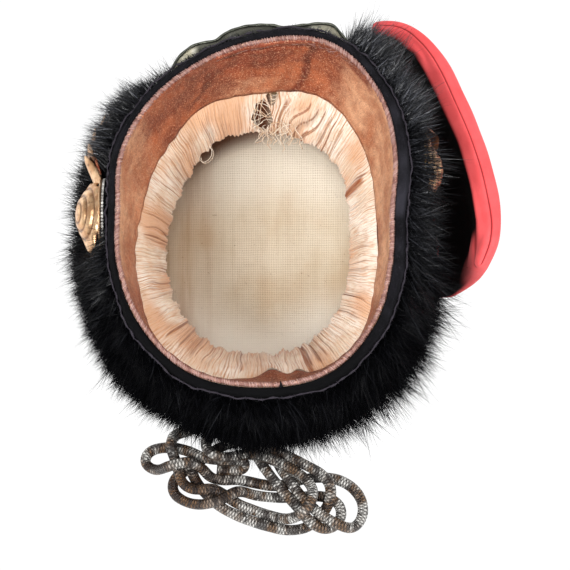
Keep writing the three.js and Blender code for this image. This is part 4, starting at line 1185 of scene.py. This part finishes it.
def hair(name, seed, turns, clumps, per_clump, length, width, levels, material, heights=(10, 147), spread=2.6,
         jitter=0.32, lift=0.55, long_share=0.0, pressed=True, toward=(0.0, 0.0)):
    """Tapered hairs in loose clumps on the pelt, between two bearings in degrees."""
    rng = np.random.default_rng(seed)
    clump_turn = np.radians(rng.uniform(turns[0], turns[1], clumps))
    clump_height = heights[0] + (heights[1] - heights[0]) * rng.beta(1.25, 1.0, clumps)
    clump_lean = rng.normal(0, jitter, (clumps, 3))
    clump_length = np.exp(rng.normal(0, 0.22, clumps))
    which = np.repeat(np.arange(clumps), per_clump)
    count = len(which)
    turn = clump_turn[which] + rng.normal(0, spread, count) / HAIR_SPREAD_RADIUS
    high = np.clip(clump_height[which] + rng.normal(0, spread, count), FUR_FOOT + 0.5, FUR_TOP)
    root_radius = pelt_radius(turn, high) - 0.8
    root = ring_points(root_radius, turn, high)
    middle = ring_points(pelt_radius(clump_turn, clump_height) - 0.8, clump_turn, clump_height)[which]
    outward = ring_points(1.0, turn, 0.0)
    across = np.stack([-outward[:, 1], outward[:, 0], 0 * turn], -1)
    up = np.array((0, 0, 1.0))
    flow = 0.35 * ripple(seed + 500, turn, high / 20, 2, 9, 10, 1.0) - 0.30 * np.cos(turn)
    shoulder = smoothstep(high, 95, 145)
    rise = lift * (1 - 0.45 * shoulder) + 0.25 * shoulder
    way = (outward * 0.85 + up * rise[:, None] + across * flow[:, None] + clump_lean[which] + (*toward, 0)
           + rng.normal(0, jitter * 0.7, (count, 3)))
    inward = np.minimum((way * outward).sum(-1), 0.25)
    way = unit(way + outward * (0.25 - inward)[:, None])
    reach = length * clump_length[which] * rng.uniform(0.65, 1.15, count)
    reach = reach * (1 + long_share * spot(turn, 318, 38))
    press = badge_press(turn, high) if pressed else np.zeros(count)
    reach = reach * (1 - 0.75 * press)
    droop = rng.uniform(0.1, 0.5, count)[:, None] * -up + 0.25 * outward + 0.25 * rng.normal(0, 1, (count, 3))
    side = unit(np.cross(way, rng.normal(0, 1, (count, 3))))
    thick = width * rng.uniform(0.7, 1.25, count)
    # Painted glints: a few hairs get a high tone and so a bright colour.
    tone = np.clip(rng.beta(1.1, 3.4, count) ** 2 + 0.8 * (rng.random(count) > 0.93), 0, 1)
    # Painted shade: hairs at the back, on the right and low on the pelt are darker and less glossy.
    gloss = 0.1 + 0.9 * smoothstep(root[:, 1], -75, -5) * (0.38 + 0.62 * smoothstep(-root[:, 0], -20, 60))
    gloss = np.maximum(gloss, smoothstep(root[:, 1], 30, 60))
    gloss = gloss * (0.35 + 0.65 * smoothstep(high, 95, 140))
    tone = tone * gloss
    steps = np.linspace(0, 1, levels + 1)
    lines = [root + way * (reach * t)[:, None] + droop * (reach * 0.38 * t * t)[:, None]
             + (middle - root) * 0.55 * t * t for t in steps]
    tips = lines[-1]
    keep = ~(near_side(root, 4.0) & (root[:, 0] < 0)) & ~(near_side(tips, 0.5) & (tips[:, 0] < 0))
    for line in lines[1:]:
        keep &= ~(near_side(line, 1.0) & (root[:, 0] < 0))
        keep &= ~((line[:, 0] < -80) & (line[:, 1] > 16) & (line[:, 1] < 37) & (line[:, 2] > 117))
    keep &= ~(near_side(root, -7.0) & (root[:, 0] > 0) & (root[:, 1] < 44))
    band_edge = ring(RIM, np.arctan2(tips[:, 1], tips[:, 0])) + 9.0
    keep &= ~((np.hypot(tips[:, 0], tips[:, 1]) < band_edge) & (tips[:, 2] > 148))
    keep &= ~((press > 0.3) & (tips[:, 2] > 150))
    keep &= (tips[:, 2] > TIP_LOW) & (tips[:, 2] < TIP_HIGH)
    lines = [line[keep] for line in lines]
    side, thick, tone, gloss = side[keep], thick[keep], tone[keep], gloss[keep]
    count = int(keep.sum())
    layers = []
    for t, line in zip(steps[:-1], lines[:-1]):
        half = (thick * (1 - t) ** 0.7 / 2)[:, None] * side
        layers += [line - half, line + half]
    layers.append(lines[-1])
    points = np.stack(layers, 1).reshape(-1, 3)
    base = np.arange(count)[:, None] * (2 * levels + 1)
    quads = np.concatenate([base + np.array([[2 * k, 2 * k + 1, 2 * k + 3, 2 * k + 2]])
                            for k in range(levels - 1)]) if levels > 1 else ()
    tris = base + np.array([[2 * levels - 2, 2 * levels - 1, 2 * levels]])
    piece = build(name, points, quads, tris, [material], tone=np.repeat(tone, 2 * levels + 1),
                  gloss=np.repeat(gloss, 2 * levels + 1))
    mount(piece, "fur")


make_pelt()
# The second colour is the painted glint; the guard hair's grey-blue is the brightest.
UNDER_HAIR = fur_material("under_hair", (0.0015, 0.0015, 0.002, 1), (0.012, 0.0125, 0.016, 1), 0.3)
GUARD_HAIR = fur_material("guard_hair", (0.0015, 0.0015, 0.002, 1), (0.15, 0.155, 0.18, 1), 0.2)
for number, (low, high, length) in enumerate(((0, 90, 9.0), (90, 180, 11.5), (180, 270, 11.5), (270, 360, 10.0))):
    hair(f"under_hair_{number}", 101 + number, (low, high), 1350, 22, length, 0.56, 1, UNDER_HAIR)
for number, (low, high, length) in enumerate(((-10, 80, 13.0), (80, 215, 12.0), (215, 350, 14.5))):
    hair(f"guard_hair_{number}", 111 + number, (low, high), 1180, 12, length, 0.46, 3, GUARD_HAIR,
         spread=1.6, jitter=0.24, long_share=0.45)

# name, seed, bearings, clumps, hairs in each, length, width, levels, heights, spread, jitter, lift, toward
LONG_SETS = [
    ("bag_side_hair", 131, (-14, 60), 640, 14, 15.0, 0.42, 3, (104, 147), 1.8, 0.24, 0.75, None),
    ("boss_cover_hair", 151, (-6, 40), 480, 14, 17.0, 0.42, 3, (138, 147), 1.2, 0.2, 0.1, None),
    ("scale_cover_hair", 161, (128, 166), 300, 14, 15.0, 0.42, 3, (126, 147), 1.6, 0.2, 0.3, None),
    ("front_tuft", 141, (51, 62), 300, 14, 19.0, 0.4, 3, (112, 146), 1.6, 0.25, 0.45, (-0.25, 0.6)),
    ("bag_front_hair", 171, (28, 56), 400, 14, 16.0, 0.4, 3, (118, 147), 1.8, 0.25, 0.5, (0.1, 0.5)),
    ("long_hair", 121, (262, 350), 420, 12, 19.0, 0.34, 4, (45, 140), 1.8, 0.22, 0.3, None),
]
for *shape, heights, spread, jitter, lift, toward in LONG_SETS:
    hair(*shape, GUARD_HAIR, heights=heights, spread=spread, jitter=jitter, lift=lift, pressed=toward is None,
         toward=toward or (0.0, 0.0))


# ---------------------------------------------------------------- bag
BAG_TURNS = (60, -12)
BAG_END = [(69, 123.5, 0), (87, 122.5, 0), (105, 107.5, 0), (119.5, 79, 0), (130.5, 51, 0), (138, 18, 0),
           (138.5, -3, 0), (131, -25, 0)]
BAG_RISE = np.array([
    (0, 2.2, 2.6), (0.3, 2.4, 2.8), (0.68, 4.6, 4), (0.86, 17, 6), (0.95, 42, 8), (1, 70, 10), (1, 95, 13),
    (1, 108, 12), (0.985, 114, 6)])
BAG_LINE = spline(BAG_END, 0.5)
BAG_LENGTHS = lengths_along(BAG_LINE)


def bag_point(along, up):
    """Middle of the bag's thickness: along its width and up from the crown's edge, 0 to 1."""
    bearing = np.radians(BAG_TURNS[0] + (BAG_TURNS[1] - BAG_TURNS[0]) * along)
    root = ring_points(ring(RIM, bearing) + 1.3, bearing, 0.0)
    place = along * BAG_LENGTHS[-1]
    end = np.stack([np.interp(place, BAG_LENGTHS, BAG_LINE[:, k]) for k in range(3)], -1)
    row = np.linspace(0, 1, len(BAG_RISE))
    out, height, thick = (np.interp(up, row, BAG_RISE[:, k]) for k in range(3))
    point = root + (end - root) * out[..., None]
    point[..., 2] = height
    return point, thick


def bag_mesh(alongs, side_rows, top_rows):
    """Closed pouch: up over the outer face, round the top and back down the inner face."""
    along = np.linspace(0, 1, alongs)[:, None]
    rise = np.linspace(0, 0.93, side_rows)
    over = np.linspace(0, math.pi, top_rows + 2)[1:-1]
    up = np.concatenate([rise, 0.93 + 0.07 * np.sin(over), rise[::-1]])[None, :]
    face = np.concatenate([np.ones(side_rows), np.cos(over), -np.ones(side_rows)])[None, :]
    along, up, face = np.broadcast_arrays(along, up, face)
    point, thick = bag_point(along, up)
    nudge = 0.01
    tangent_a = bag_point(np.clip(along + nudge, 0, 1), up)[0] - bag_point(np.clip(along - nudge, 0, 1), up)[0]
    tangent_u = bag_point(along, np.clip(up + nudge, 0, 1))[0] - bag_point(along, np.clip(up - nudge, 0, 1))[0]
    out = unit(np.cross(tangent_a, tangent_u))
    flip = np.sign((out * ring_points(1.0, np.arctan2(point[..., 1], point[..., 0]), 0.3)).sum(-1))
    out = out * flip[..., None]
    rounded = 1 - 0.35 * np.abs(2 * along - 1) ** 12
    points = point + out * (face * thick * rounded / 2)[..., None]
    return points, along, up, face


def make_bag():
    """Red cloth bag: a closed pouch, filled as cloth and then finished."""
    alongs, side_rows, top_rows = 44, 26, 12
    loops = 2 * side_rows + top_rows
    points, along, up, face = bag_mesh(alongs, side_rows, top_rows)
    flat = points.reshape(-1, 3)
    quads = grid_quads(alongs, loops)
    caps = []
    for row in (0, alongs - 1):
        first = row * loops
        for k in range(loops // 2 - 1):
            a, b = first + k, first + k + 1
            c, d = first + loops - 2 - k, first + loops - 1 - k
            caps.append((a, b, c, d) if row else (d, c, b, a))
    quads = np.concatenate([quads, np.array(caps)])
    cloth = red_cloth_material("bag_cloth", colour(222, 82, 84), colour(232, 92, 94))
    piece = build("bag_pouch", flat, quads, (), [cloth], along=along, up=up, face=face)
    swell(piece, flat, up.ravel())
    modifier = piece.modifiers.new("smooth", "SUBSURF")
    modifier.levels = modifier.render_levels = 1
    apply_all(piece)
    finish_bag(piece)
    mount(piece, "bag", "bag")


def apply_all(piece):
    """Turns what the modifiers make into the piece's own mesh."""
    graph = bpy.context.evaluated_depsgraph_get()
    made = bpy.data.meshes.new_from_object(piece.evaluated_get(graph), preserve_all_data_layers=True, depsgraph=graph)
    piece.modifiers.clear()
    piece.data = made


def swell(piece, rest, up):
    """Fills the pouch with a little air as cloth, and keeps each point near its place."""
    cloth = piece.modifiers.new("fill", "CLOTH")
    settings = cloth.settings
    settings.quality = 6
    settings.mass = 0.3
    settings.tension_stiffness = settings.compression_stiffness = 18
    settings.bending_stiffness = 1.5
    settings.use_pressure = True
    settings.uniform_pressure_force = 4
    settings.effector_weights.gravity = 0
    cloth.collision_settings.use_self_collision = False
    scene = bpy.context.scene
    scene.frame_start, scene.frame_end = 1, 20
    for number in range(1, 21):
        scene.frame_set(number)
    graph = bpy.context.evaluated_depsgraph_get()
    moved = np.array([v.co for v in piece.evaluated_get(graph).data.vertices]).reshape(-1, 3) / MM
    piece.modifiers.remove(cloth)
    scene.frame_set(1)
    step = moved - rest
    far = np.linalg.norm(step, axis=1, keepdims=True)
    free = 2.2 * smoothstep(up, 0.35, 0.7)[:, None]
    rest = rest + step * np.minimum(free / np.maximum(far, 1e-6), 1)
    piece.data.vertices.foreach_set("co", (rest * MM).astype(np.float32).ravel())
    piece.data.update()


def read_attribute(mesh, name):
    """One number for each point, from a mesh."""
    values = np.zeros(len(mesh.vertices), np.float32)
    mesh.attributes[name].data.foreach_get("value", values)
    return values


def finish_bag(piece):
    """Seam grooves, soft creases and a slightly uneven surface."""
    mesh = piece.data
    count = len(mesh.vertices)
    points, normals = np.zeros(count * 3, np.float32), np.zeros(count * 3, np.float32)
    mesh.vertices.foreach_get("co", points)
    mesh.vertices.foreach_get("normal", normals)
    points, normals = points.reshape(-1, 3) / MM, normals.reshape(-1, 3)
    along, up, face = (read_attribute(mesh, key) for key in ("along", "up", "face"))
    rim_line = bump(face, 0.42 - 0.12 * np.sin(along * 5), 0.13) * smoothstep(up, 0.93, 0.95)
    side_line = bump(up, 0.84, 0.02) * smoothstep(-face, 0.2, 0.8) * smoothstep(along, 0.5, 0.7)
    seam = np.clip(rim_line + 0.8 * side_line, 0, 1)
    soft = (0.35 * np.sin(along * 17 + up * 9) + 0.25 * np.sin(along * 41 - up * 15 + 2)
            + 0.2 * np.sin(along * 9 + up * 31 + 1))
    lift = 0.45 * soft * smoothstep(up, 0.3, 0.6) - 0.9 * seam
    points = points + normals * lift[:, None]
    mesh.vertices.foreach_set("co", (points * MM).astype(np.float32).ravel())
    shade = smoothstep(-face, -0.2, 0.6) * (1 - smoothstep(up, 0.8, 0.95))
    shade = shade * (1 - 0.8 * smoothstep(along, 0.8, 0.93) * smoothstep(up, 0.35, 0.7))
    for key, values in (("seam", seam), ("shade", shade)):
        layer = mesh.attributes.new(key, "FLOAT", "POINT")
        layer.data.foreach_set("value", values.astype(np.float32))
    mesh.polygons.foreach_set("use_smooth", np.full(len(mesh.polygons), True))
    mesh.update()


make_bag()


# ---------------------------------------------------------------- front scroll badge
BADGE_ROWS = 34
SCROLL_PLAN = [(-46.3, 97, 0), (-36.4, 104.8, 0), (-24.9, 107.6, 0), (-19.1, 112, 0), (-7.8, 116.2, 0),
               (7.4, 117.2, 0), (16, 115.8, 0), (28.1, 117.3, 0), (44.3, 116.9, 0), (49.8, 110.8, 0)]


def make_badge():
    """Thin scroll on the front, blackened outside and pale inside, with painted shade on the inside between its ends,
    and rolled edges.
    """
    def seated(turn):
        bearing = math.radians(turn)
        return tuple(ring_points(ring(RIM, bearing) + 11.3, bearing, 0.0))
    line = spline([seated(119.5), *SCROLL_PLAN, seated(62)], 0.65)
    place = lengths_along(line) / lengths_along(line)[-1]
    way = unit(np.gradient(line, axis=0))
    out = np.stack([-way[:, 1], way[:, 0], 0 * place], -1)
    low = 108 + 4 * (2 * place - 1) ** 2
    rows = BADGE_ROWS
    share = np.linspace(0, 1, rows)[:, None]
    height = low[None] + (137 - low[None]) * share
    relief_form = 0.7 * bump(share, 0.1, 0.05) + 0.7 * bump(share, 0.9, 0.05) + 0.5 * np.sin(share * math.pi)
    stem = 0.5 + 0.16 * np.sin(place[None] * TAU * 2.5)
    leaf = 0.75 * bump(share, stem, 0.05) * smoothstep(np.abs(place[None] - 0.5), 0.08, 0.14)
    for turn in range(5):
        middle = 0.1 + 0.2 * turn
        curl = np.hypot((place[None] - middle) * 5.2, share - 0.5)
        leaf = leaf + 0.6 * bump(curl, 0.26, 0.05) * (turn != 2) + 0.5 * bump(curl, 0.0, 0.09) * (turn != 2)
    pale_end = 1 - smoothstep(line[:, 0], -40, -35) * (1 - smoothstep(line[:, 0], 29, 34))
    lean = -2.4 - 1.8 * pale_end[None] + (2.8 + 2.2 * pale_end[None]) * smoothstep(share, 0.62, 1.0)
    push = relief_form + leaf + lean
    grid = len(place)
    sheets = []
    for thick in (0.45, -0.45):
        sheets.append(line[None] + out[None] * (push + thick)[..., None])
        sheets[-1][..., 2] = height
    points = np.concatenate(sheets).reshape(-1, 3)
    front = grid_quads(rows, grid, wrap_steps=False)
    behind = grid_quads(rows, grid, wrap_steps=False, first=rows * grid)[:, ::-1]
    edge_rows = []
    for row in (0, rows - 1):
        a = row * grid + np.arange(grid - 1)
        edge_rows.append(np.stack([a, a + 1, a + 1 + rows * grid, a + rows * grid], -1))
    for column in (0, grid - 1):
        a = np.arange(rows - 1) * grid + column
        edge_rows.append(np.stack([a, a + grid, a + grid + rows * grid, a + rows * grid], -1))
    edges = np.concatenate(edge_rows)
    quads = np.concatenate([front, behind, edges])
    dark = metal_material("blackened_metal", colour(74, 76, 68), colour(96, 98, 88), colour(30, 30, 27), 0.34, 0.95)
    gilt = metal_material("pale_gilt", colour(214, 206, 176), colour(244, 240, 222), colour(104, 104, 94), 0.4, 0.15)
    # Painted shade: the pale inner face is darkened between its two ends.
    tone = np.concatenate([np.zeros(rows * grid), np.tile((1 - pale_end) * 0.95, rows)])
    piece = build("scroll_sheet", points, quads, (), [dark, gilt], tone=tone)
    slots = np.concatenate([np.zeros(len(front)), np.ones(len(behind)), np.zeros(len(edges))]).astype(np.int32)
    piece.data.polygons.foreach_set("material_index", slots)
    mount(piece, "scroll_badge", "scroll_badge")
    heap = Heap()
    for row, radius in ((0, 0.8), (rows - 1, 0.85)):
        edge = line + out * push[row][:, None]
        edge[:, 2] = height[row]
        heap.thread(edge, radius + 0.1 * np.sin(place * 90), 8)
    mount(heap.piece("scroll_edges", [dark]), "scroll_badge")


make_badge()


# ---------------------------------------------------------------- side rosettes and bosses
def turned(profile, sides, wobble=None):
    """Lathe form on z from (radius, height) rows, with an optional change by turn and row."""
    profile = np.asarray(profile, float)
    turn = all_round(sides)
    radius = profile[:, :1] + 0 * turn
    height = profile[:, 1:] + 0 * turn
    if wobble is not None:
        radius, height = wobble(radius, height, turn)
    return np.stack([radius * np.cos(turn), radius * np.sin(turn), height], -1).reshape(-1, 3), grid_quads(
        len(profile), sides)


def placed(points, side, lift=0.0, tilt=0.0):
    """Puts a form, z outward and y up, on its side of the cap, tipped upward by tilt."""
    way = side["way"]
    matrix = np.array([[0, 0, way], [way, 0, 0], [0, 1, 0]], float)
    seat = np.array((way * side["seat"], side["y"], SIDE_HEIGHT))
    x, y, z = np.asarray(points, float).T
    y, z = y * math.cos(tilt) + z * math.sin(tilt), z * math.cos(tilt) - y * math.sin(tilt) + lift
    return np.stack([x, y, z], -1) @ matrix.T + seat


def rounded_profile(rows, step=0.7):
    """Rounded curve through (radius, height) rows."""
    return spline([(r, h, 0) for r, h in rows], step)[:, :2]


BRASS = metal_material("gilt_brass", colour(196, 150, 110), colour(226, 190, 150), colour(92, 56, 34), 0.26)
SILVER = thread_material("silver_wire", colour(120, 116, 112), colour(226, 224, 218), 0.35)
GOLD = thread_material("gold_wire", colour(196, 140, 70), colour(236, 200, 130), 0.4)
BLACK = band_material()
RED = red_cloth_material("rosette_cloth", colour(190, 30, 40), colour(214, 48, 56))


def make_side(side):
    """Pleated cloth rosette with its beads, and the ringed brass dome that stands on it."""
    name = side["name"]
    base_rows = rounded_profile([(0.01, 0.3), (14, 0.3), (19.8, 0.4), (20.4, 1.2), (19.6, 2.3), (17.5, 2.6),
                                 (15.5, 1.9), (13, 1.9), (11.5, 2.6), (6, 3.2), (0.01, 3.3)])

    def pleat(radius, height, turn):
        return radius, height + 0.28 * np.sin(turn * 36) * smoothstep(radius, 11, 15) * (height > 1)
    points, quads = turned(base_rows, 144, pleat)
    cloth = build(f"rosette_{name}", placed(points, side), quads, (), [BLACK if side["way"] < 0 else RED],
                  worn=np.zeros(len(points)), seam=np.zeros(len(points)))
    mount(cloth, "cockade", f"cockade_{name}")
    heap = Heap()
    rng = np.random.default_rng(71)
    bead, faces = turned(rounded_profile([(0.01, 0.9), (0.6, 0.75), (0.95, 0.2), (0.8, -0.5), (0.01, -0.6)], 0.4), 8)
    for turn in np.linspace(0, TAU, 64, endpoint=False):
        centre = np.array((20.6 * math.cos(turn), 20.6 * math.sin(turn), 1.7))
        heap.add(placed(bead + centre, side), faces, tone=rng.random())
    for radius, thick in ((17.9, 0.75), (15.9, 0.6)):
        turn = np.linspace(0, TAU, 150)
        circle = np.stack([radius * np.cos(turn), radius * np.sin(turn), 2.7 + 0.25 * np.sin(turn * 36)], -1)
        heap.thread(placed(circle, side), thick, 6, tone=0.4)
    trim = heap.piece(f"rosette_beads_{name}", [SILVER if side["way"] < 0 else GOLD])
    mount(trim, "cockade")
    if side["way"] < 0:
        lining, faces = turned(rounded_profile([(0.01, 2.9), (13.2, 2.9), (14.6, 3.4), (14.8, 2.7), (0.01, 2.4)]), 72)
        mount(build("rosette_red", placed(lining * (1.15, 1.15, 1.3), side), faces, (), [RED],
                    seam=np.zeros(len(lining))), "cockade")
        plate, faces = turned(rounded_profile([(17, 3.3), (20.4, 3.5), (21.8, 4.1), (22.3, 3.5), (20.5, 2.8),
                                               (17, 2.7)], 0.5), 96)
        mount(build("rosette_plate", placed(plate, side), faces, (), [BRASS], tone=np.zeros(len(plate))), "cockade")
    dome = [(0.01, 0.2), (18.2, 0.2), (18.6, 0.9), (18.0, 2.4), (15.9, 4.2), (15.2, 3.9), (14.6, 4.4), (13.6, 6.4),
            (11.2, 8.0), (10.5, 7.6), (9.9, 8.2), (8.9, 9.6), (6.6, 10.6), (5.9, 10.2), (5.3, 10.7), (3.4, 11.4),
            (0.01, 11.6)]
    fine = []
    for (r1, h1), (r2, h2) in zip(dome[:-1], dome[1:]):
        share = np.linspace(0, 1, 3, endpoint=False)
        fine += [(r1 + (r2 - r1) * s, h1 + (h2 - h1) * s) for s in share]
    fine.append(dome[-1])

    def scallop(radius, height, turn):
        edge = smoothstep(radius, 12, 18.5)
        tip = 1 + 0.24 * bump(np.cos(turn - 0.12), 1, 0.1) * edge
        return radius * (1 + 0.028 * edge * np.cos(turn * 16)) * tip, height + 0.35 * edge * np.abs(np.sin(turn * 8))
    points, quads = turned(fine, 128, scallop)
    out = np.hypot(points[:, 0], points[:, 1])
    grooves = 0.8 * sum(bump(out, radius, 0.9) for radius in (15.2, 10.5, 5.9))
    # Painted shade: the dome's lower side is darker; the rings above are patina in the grooves.
    grooves = grooves + 0.35 * smoothstep(-points[:, 1], 2, 16)
    if side["way"] < 0:
        points = placed(points * (1, 1, 0.86), side, 8.6, math.radians(21))
    else:
        points = placed(points, side, 2.0)
    shell = build(f"boss_shell_{name}", points, quads, (), [BRASS], tone=np.clip(grooves, 0, 0.85))
    mount(shell, "boss", f"boss_{name}")


# ---------------------------------------------------------------- chin scales
CHIN_LINE = [(42, 113), (62, 97), (90, 92), (120, 98), (145, 114), (157, 121)]
CAD_PROFILE = np.array([(16, 0.86), (30, 0.925), (60, 0.955), (90, 0.948), (98, 0.94), (108, 0.925), (120, 0.9),
                        (138, 0.845)])


def chin_points():
    """Route of the chin strap round the front, from the left boss to the right one."""
    def cad_outer(turn, height):
        bearing = math.radians(turn)
        share = np.interp(height, CAD_PROFILE[:, 0], CAD_PROFILE[:, 1])
        free = max(ring(FUR, bearing) * share, ring(RIM, bearing) + 10.9)
        pressed = ring(RIM, bearing) + 10.4
        radius = free + (pressed - free) * badge_press(bearing, height)
        return tuple(ring_points(radius, bearing, height))
    ends = []
    for side in SIDES:
        out = side["seat"] + 3.2 + 0.6 + 0.8
        ends.append((side["way"] * out, side["y"] + 18.5 + 2.4, SIDE_HEIGHT))
    return spline([ends[1], *(cad_outer(*row) for row in CHIN_LINE), ends[0]], 0.5)


def make_chin(strap_leather):
    """Both halves of the chin strap: a leather strap under overlapping brass scales."""
    line = chin_points()
    before, after = line[0] - 10 * unit(line[1] - line[0]), line[-1] + 10 * unit(line[-1] - line[-2])
    line = np.concatenate([[before], line, [after]])
    place = lengths_along(line)
    way = unit(np.gradient(line, axis=0))
    level = unit(line * (1, 1, 0))
    across = unit(np.cross(way, level))
    out = np.cross(across, way)
    first, last = 10.0, place[-1] - 10
    turns = np.degrees(np.arctan2(line[:, 1], line[:, 0]))
    meet = place[np.argmin(np.abs(turns - 91.2))]

    def at(distance, side, lift):
        pick = [np.interp(distance, place, source[:, k]) for source in (line, across, out) for k in range(3)]
        base, sideways, outward = (np.stack(pick[k:k + 3], -1) for k in (0, 3, 6))
        return base + sideways * np.asarray(side)[..., None] + outward * np.asarray(lift)[..., None]

    for name, begin, end, count in (("left", first, meet - 0.5, 12), ("right", last, meet + 0.5, 14)):
        heap = Heap()
        along = np.linspace(begin, end, 90)
        section = np.array([(-6.3, -0.6), (6.3, -0.6), (6.5, 0.0), (6.3, 0.6), (-6.3, 0.6), (-6.5, 0.0)])
        points = np.stack([at(along, np.full(90, s), np.full(90, h)) for s, h in section], 1)
        strap = build(f"chin_strap_{name}", points.reshape(-1, 3), grid_quads(90, 6), (), [strap_leather],
                      light=np.zeros(540), red=np.full(540, 0.4), dark=np.full(540, 0.3))
        mount(strap, "chin_scales", f"chin_scales_{name}")
        sign = 1 if end > begin else -1
        pitch = abs(end - begin) / count
        faces = grid_quads(9, 17, wrap_steps=False)
        for number in range(count):
            base = begin + sign * pitch * number
            u, v = np.meshgrid(np.linspace(0, 1, 9), np.linspace(-1, 1, 17), indexing="ij")
            tip = 1 - 0.35 * np.abs(v) ** 2.5
            big = number == 0
            distance = base - sign * 6 * big + sign * (23.0 if big else 13.2) * u * tip
            wide = (9.6 if big else 8.8) * (1 - (0.4 if big else 0.16) * u)
            arch = (3.6 if big else 2.6) * (1 - v ** 2) + 0.4 + 2.1 * u + 0.6 * bump(u, 0.93, 0.06)
            for lift, turn_over in ((0.0, False), (-0.5, True)):
                sheet = at(np.clip(distance, 0, place[-1]), v * wide, arch + lift)
                soil = (0.0 if big else 0.9) * (1 - smoothstep(u, 0.22, 0.42)) + 0.25 * smoothstep(np.abs(v), 0.8, 1.0)
                heap.add(sheet.reshape(-1, 3), faces[:, ::-1] if turn_over else faces, tone=soil.ravel())
        scales = heap.piece(f"chin_scale_row_{name}", [BRASS])
        mount(scales, "chin_scales")


for side in SIDES:
    make_side(side)
make_chin(leather_material())


# ---------------------------------------------------------------- floor and light
def make_stage():
    """Pale floor that the camera sees as white, and a white studio round it."""
    floor = build("floor", [(-3000, -3000, -0.2), (3000, -3000, -0.2), (3000, 3000, -0.2), (-3000, 3000, -0.2)],
                  [(0, 1, 2, 3)])
    material, tree, shader, where = start("pale_floor")
    paper = noisy(tree, where, 400.0, 3.0)
    feed(tree, shader, {"Base Color": (0.9, 0.9, 0.9, 1), "Roughness": graded(tree, paper, 0.3, 0.7, 0.8, 0.9)})
    glow = put(tree, "Emission", {"Color": (1, 1, 1, 1), "Strength": 1.05})
    seen = put(tree, "LightPath").outputs["Is Camera Ray"]
    blend = put(tree, "MixShader", {0: seen, 1: shader.outputs[0], 2: glow.outputs[0]})
    output = next(n for n in tree.nodes if n.type == "OUTPUT_MATERIAL")
    tree.links.new(blend.outputs[0], output.inputs["Surface"])
    floor.data.materials.append(material)
    world = bpy.data.worlds.new("studio")
    world.use_nodes = True
    world.node_tree.nodes["Background"].inputs["Color"].default_value = (1, 1, 1, 1)
    world.node_tree.nodes["Background"].inputs["Strength"].default_value = 0.6
    bpy.context.scene.world = world


def softbox(name, place, target, size, power):
    """Soft lamp of a width and height, turned to a target."""
    light = bpy.data.lights.new(name, "AREA")
    light.shape = "RECTANGLE"
    light.size, light.size_y = size
    light.energy = power
    made = bpy.data.objects.new(name, light)
    made.location = Vector(place)
    made.rotation_euler = (Vector(place) - Vector(target)).to_track_quat("Z", "Y").to_euler()
    bpy.context.scene.collection.objects.link(made)


make_stage()
softbox("key_light", (-0.62, -0.62, 1.3), (0, 0, 0.1), (0.5, 0.5), 19)
softbox("side_light", (1.1, 0.2, 0.9), (0, 0, 0.1), (0.6, 0.9), 9)
softbox("top_light", (0.0, -0.2, 1.7), (0, 0, 0.05), (0.45, 0.45), 12)

scene = bpy.context.scene
scene.view_settings.view_transform = "Standard"
scene.view_settings.look = "None"
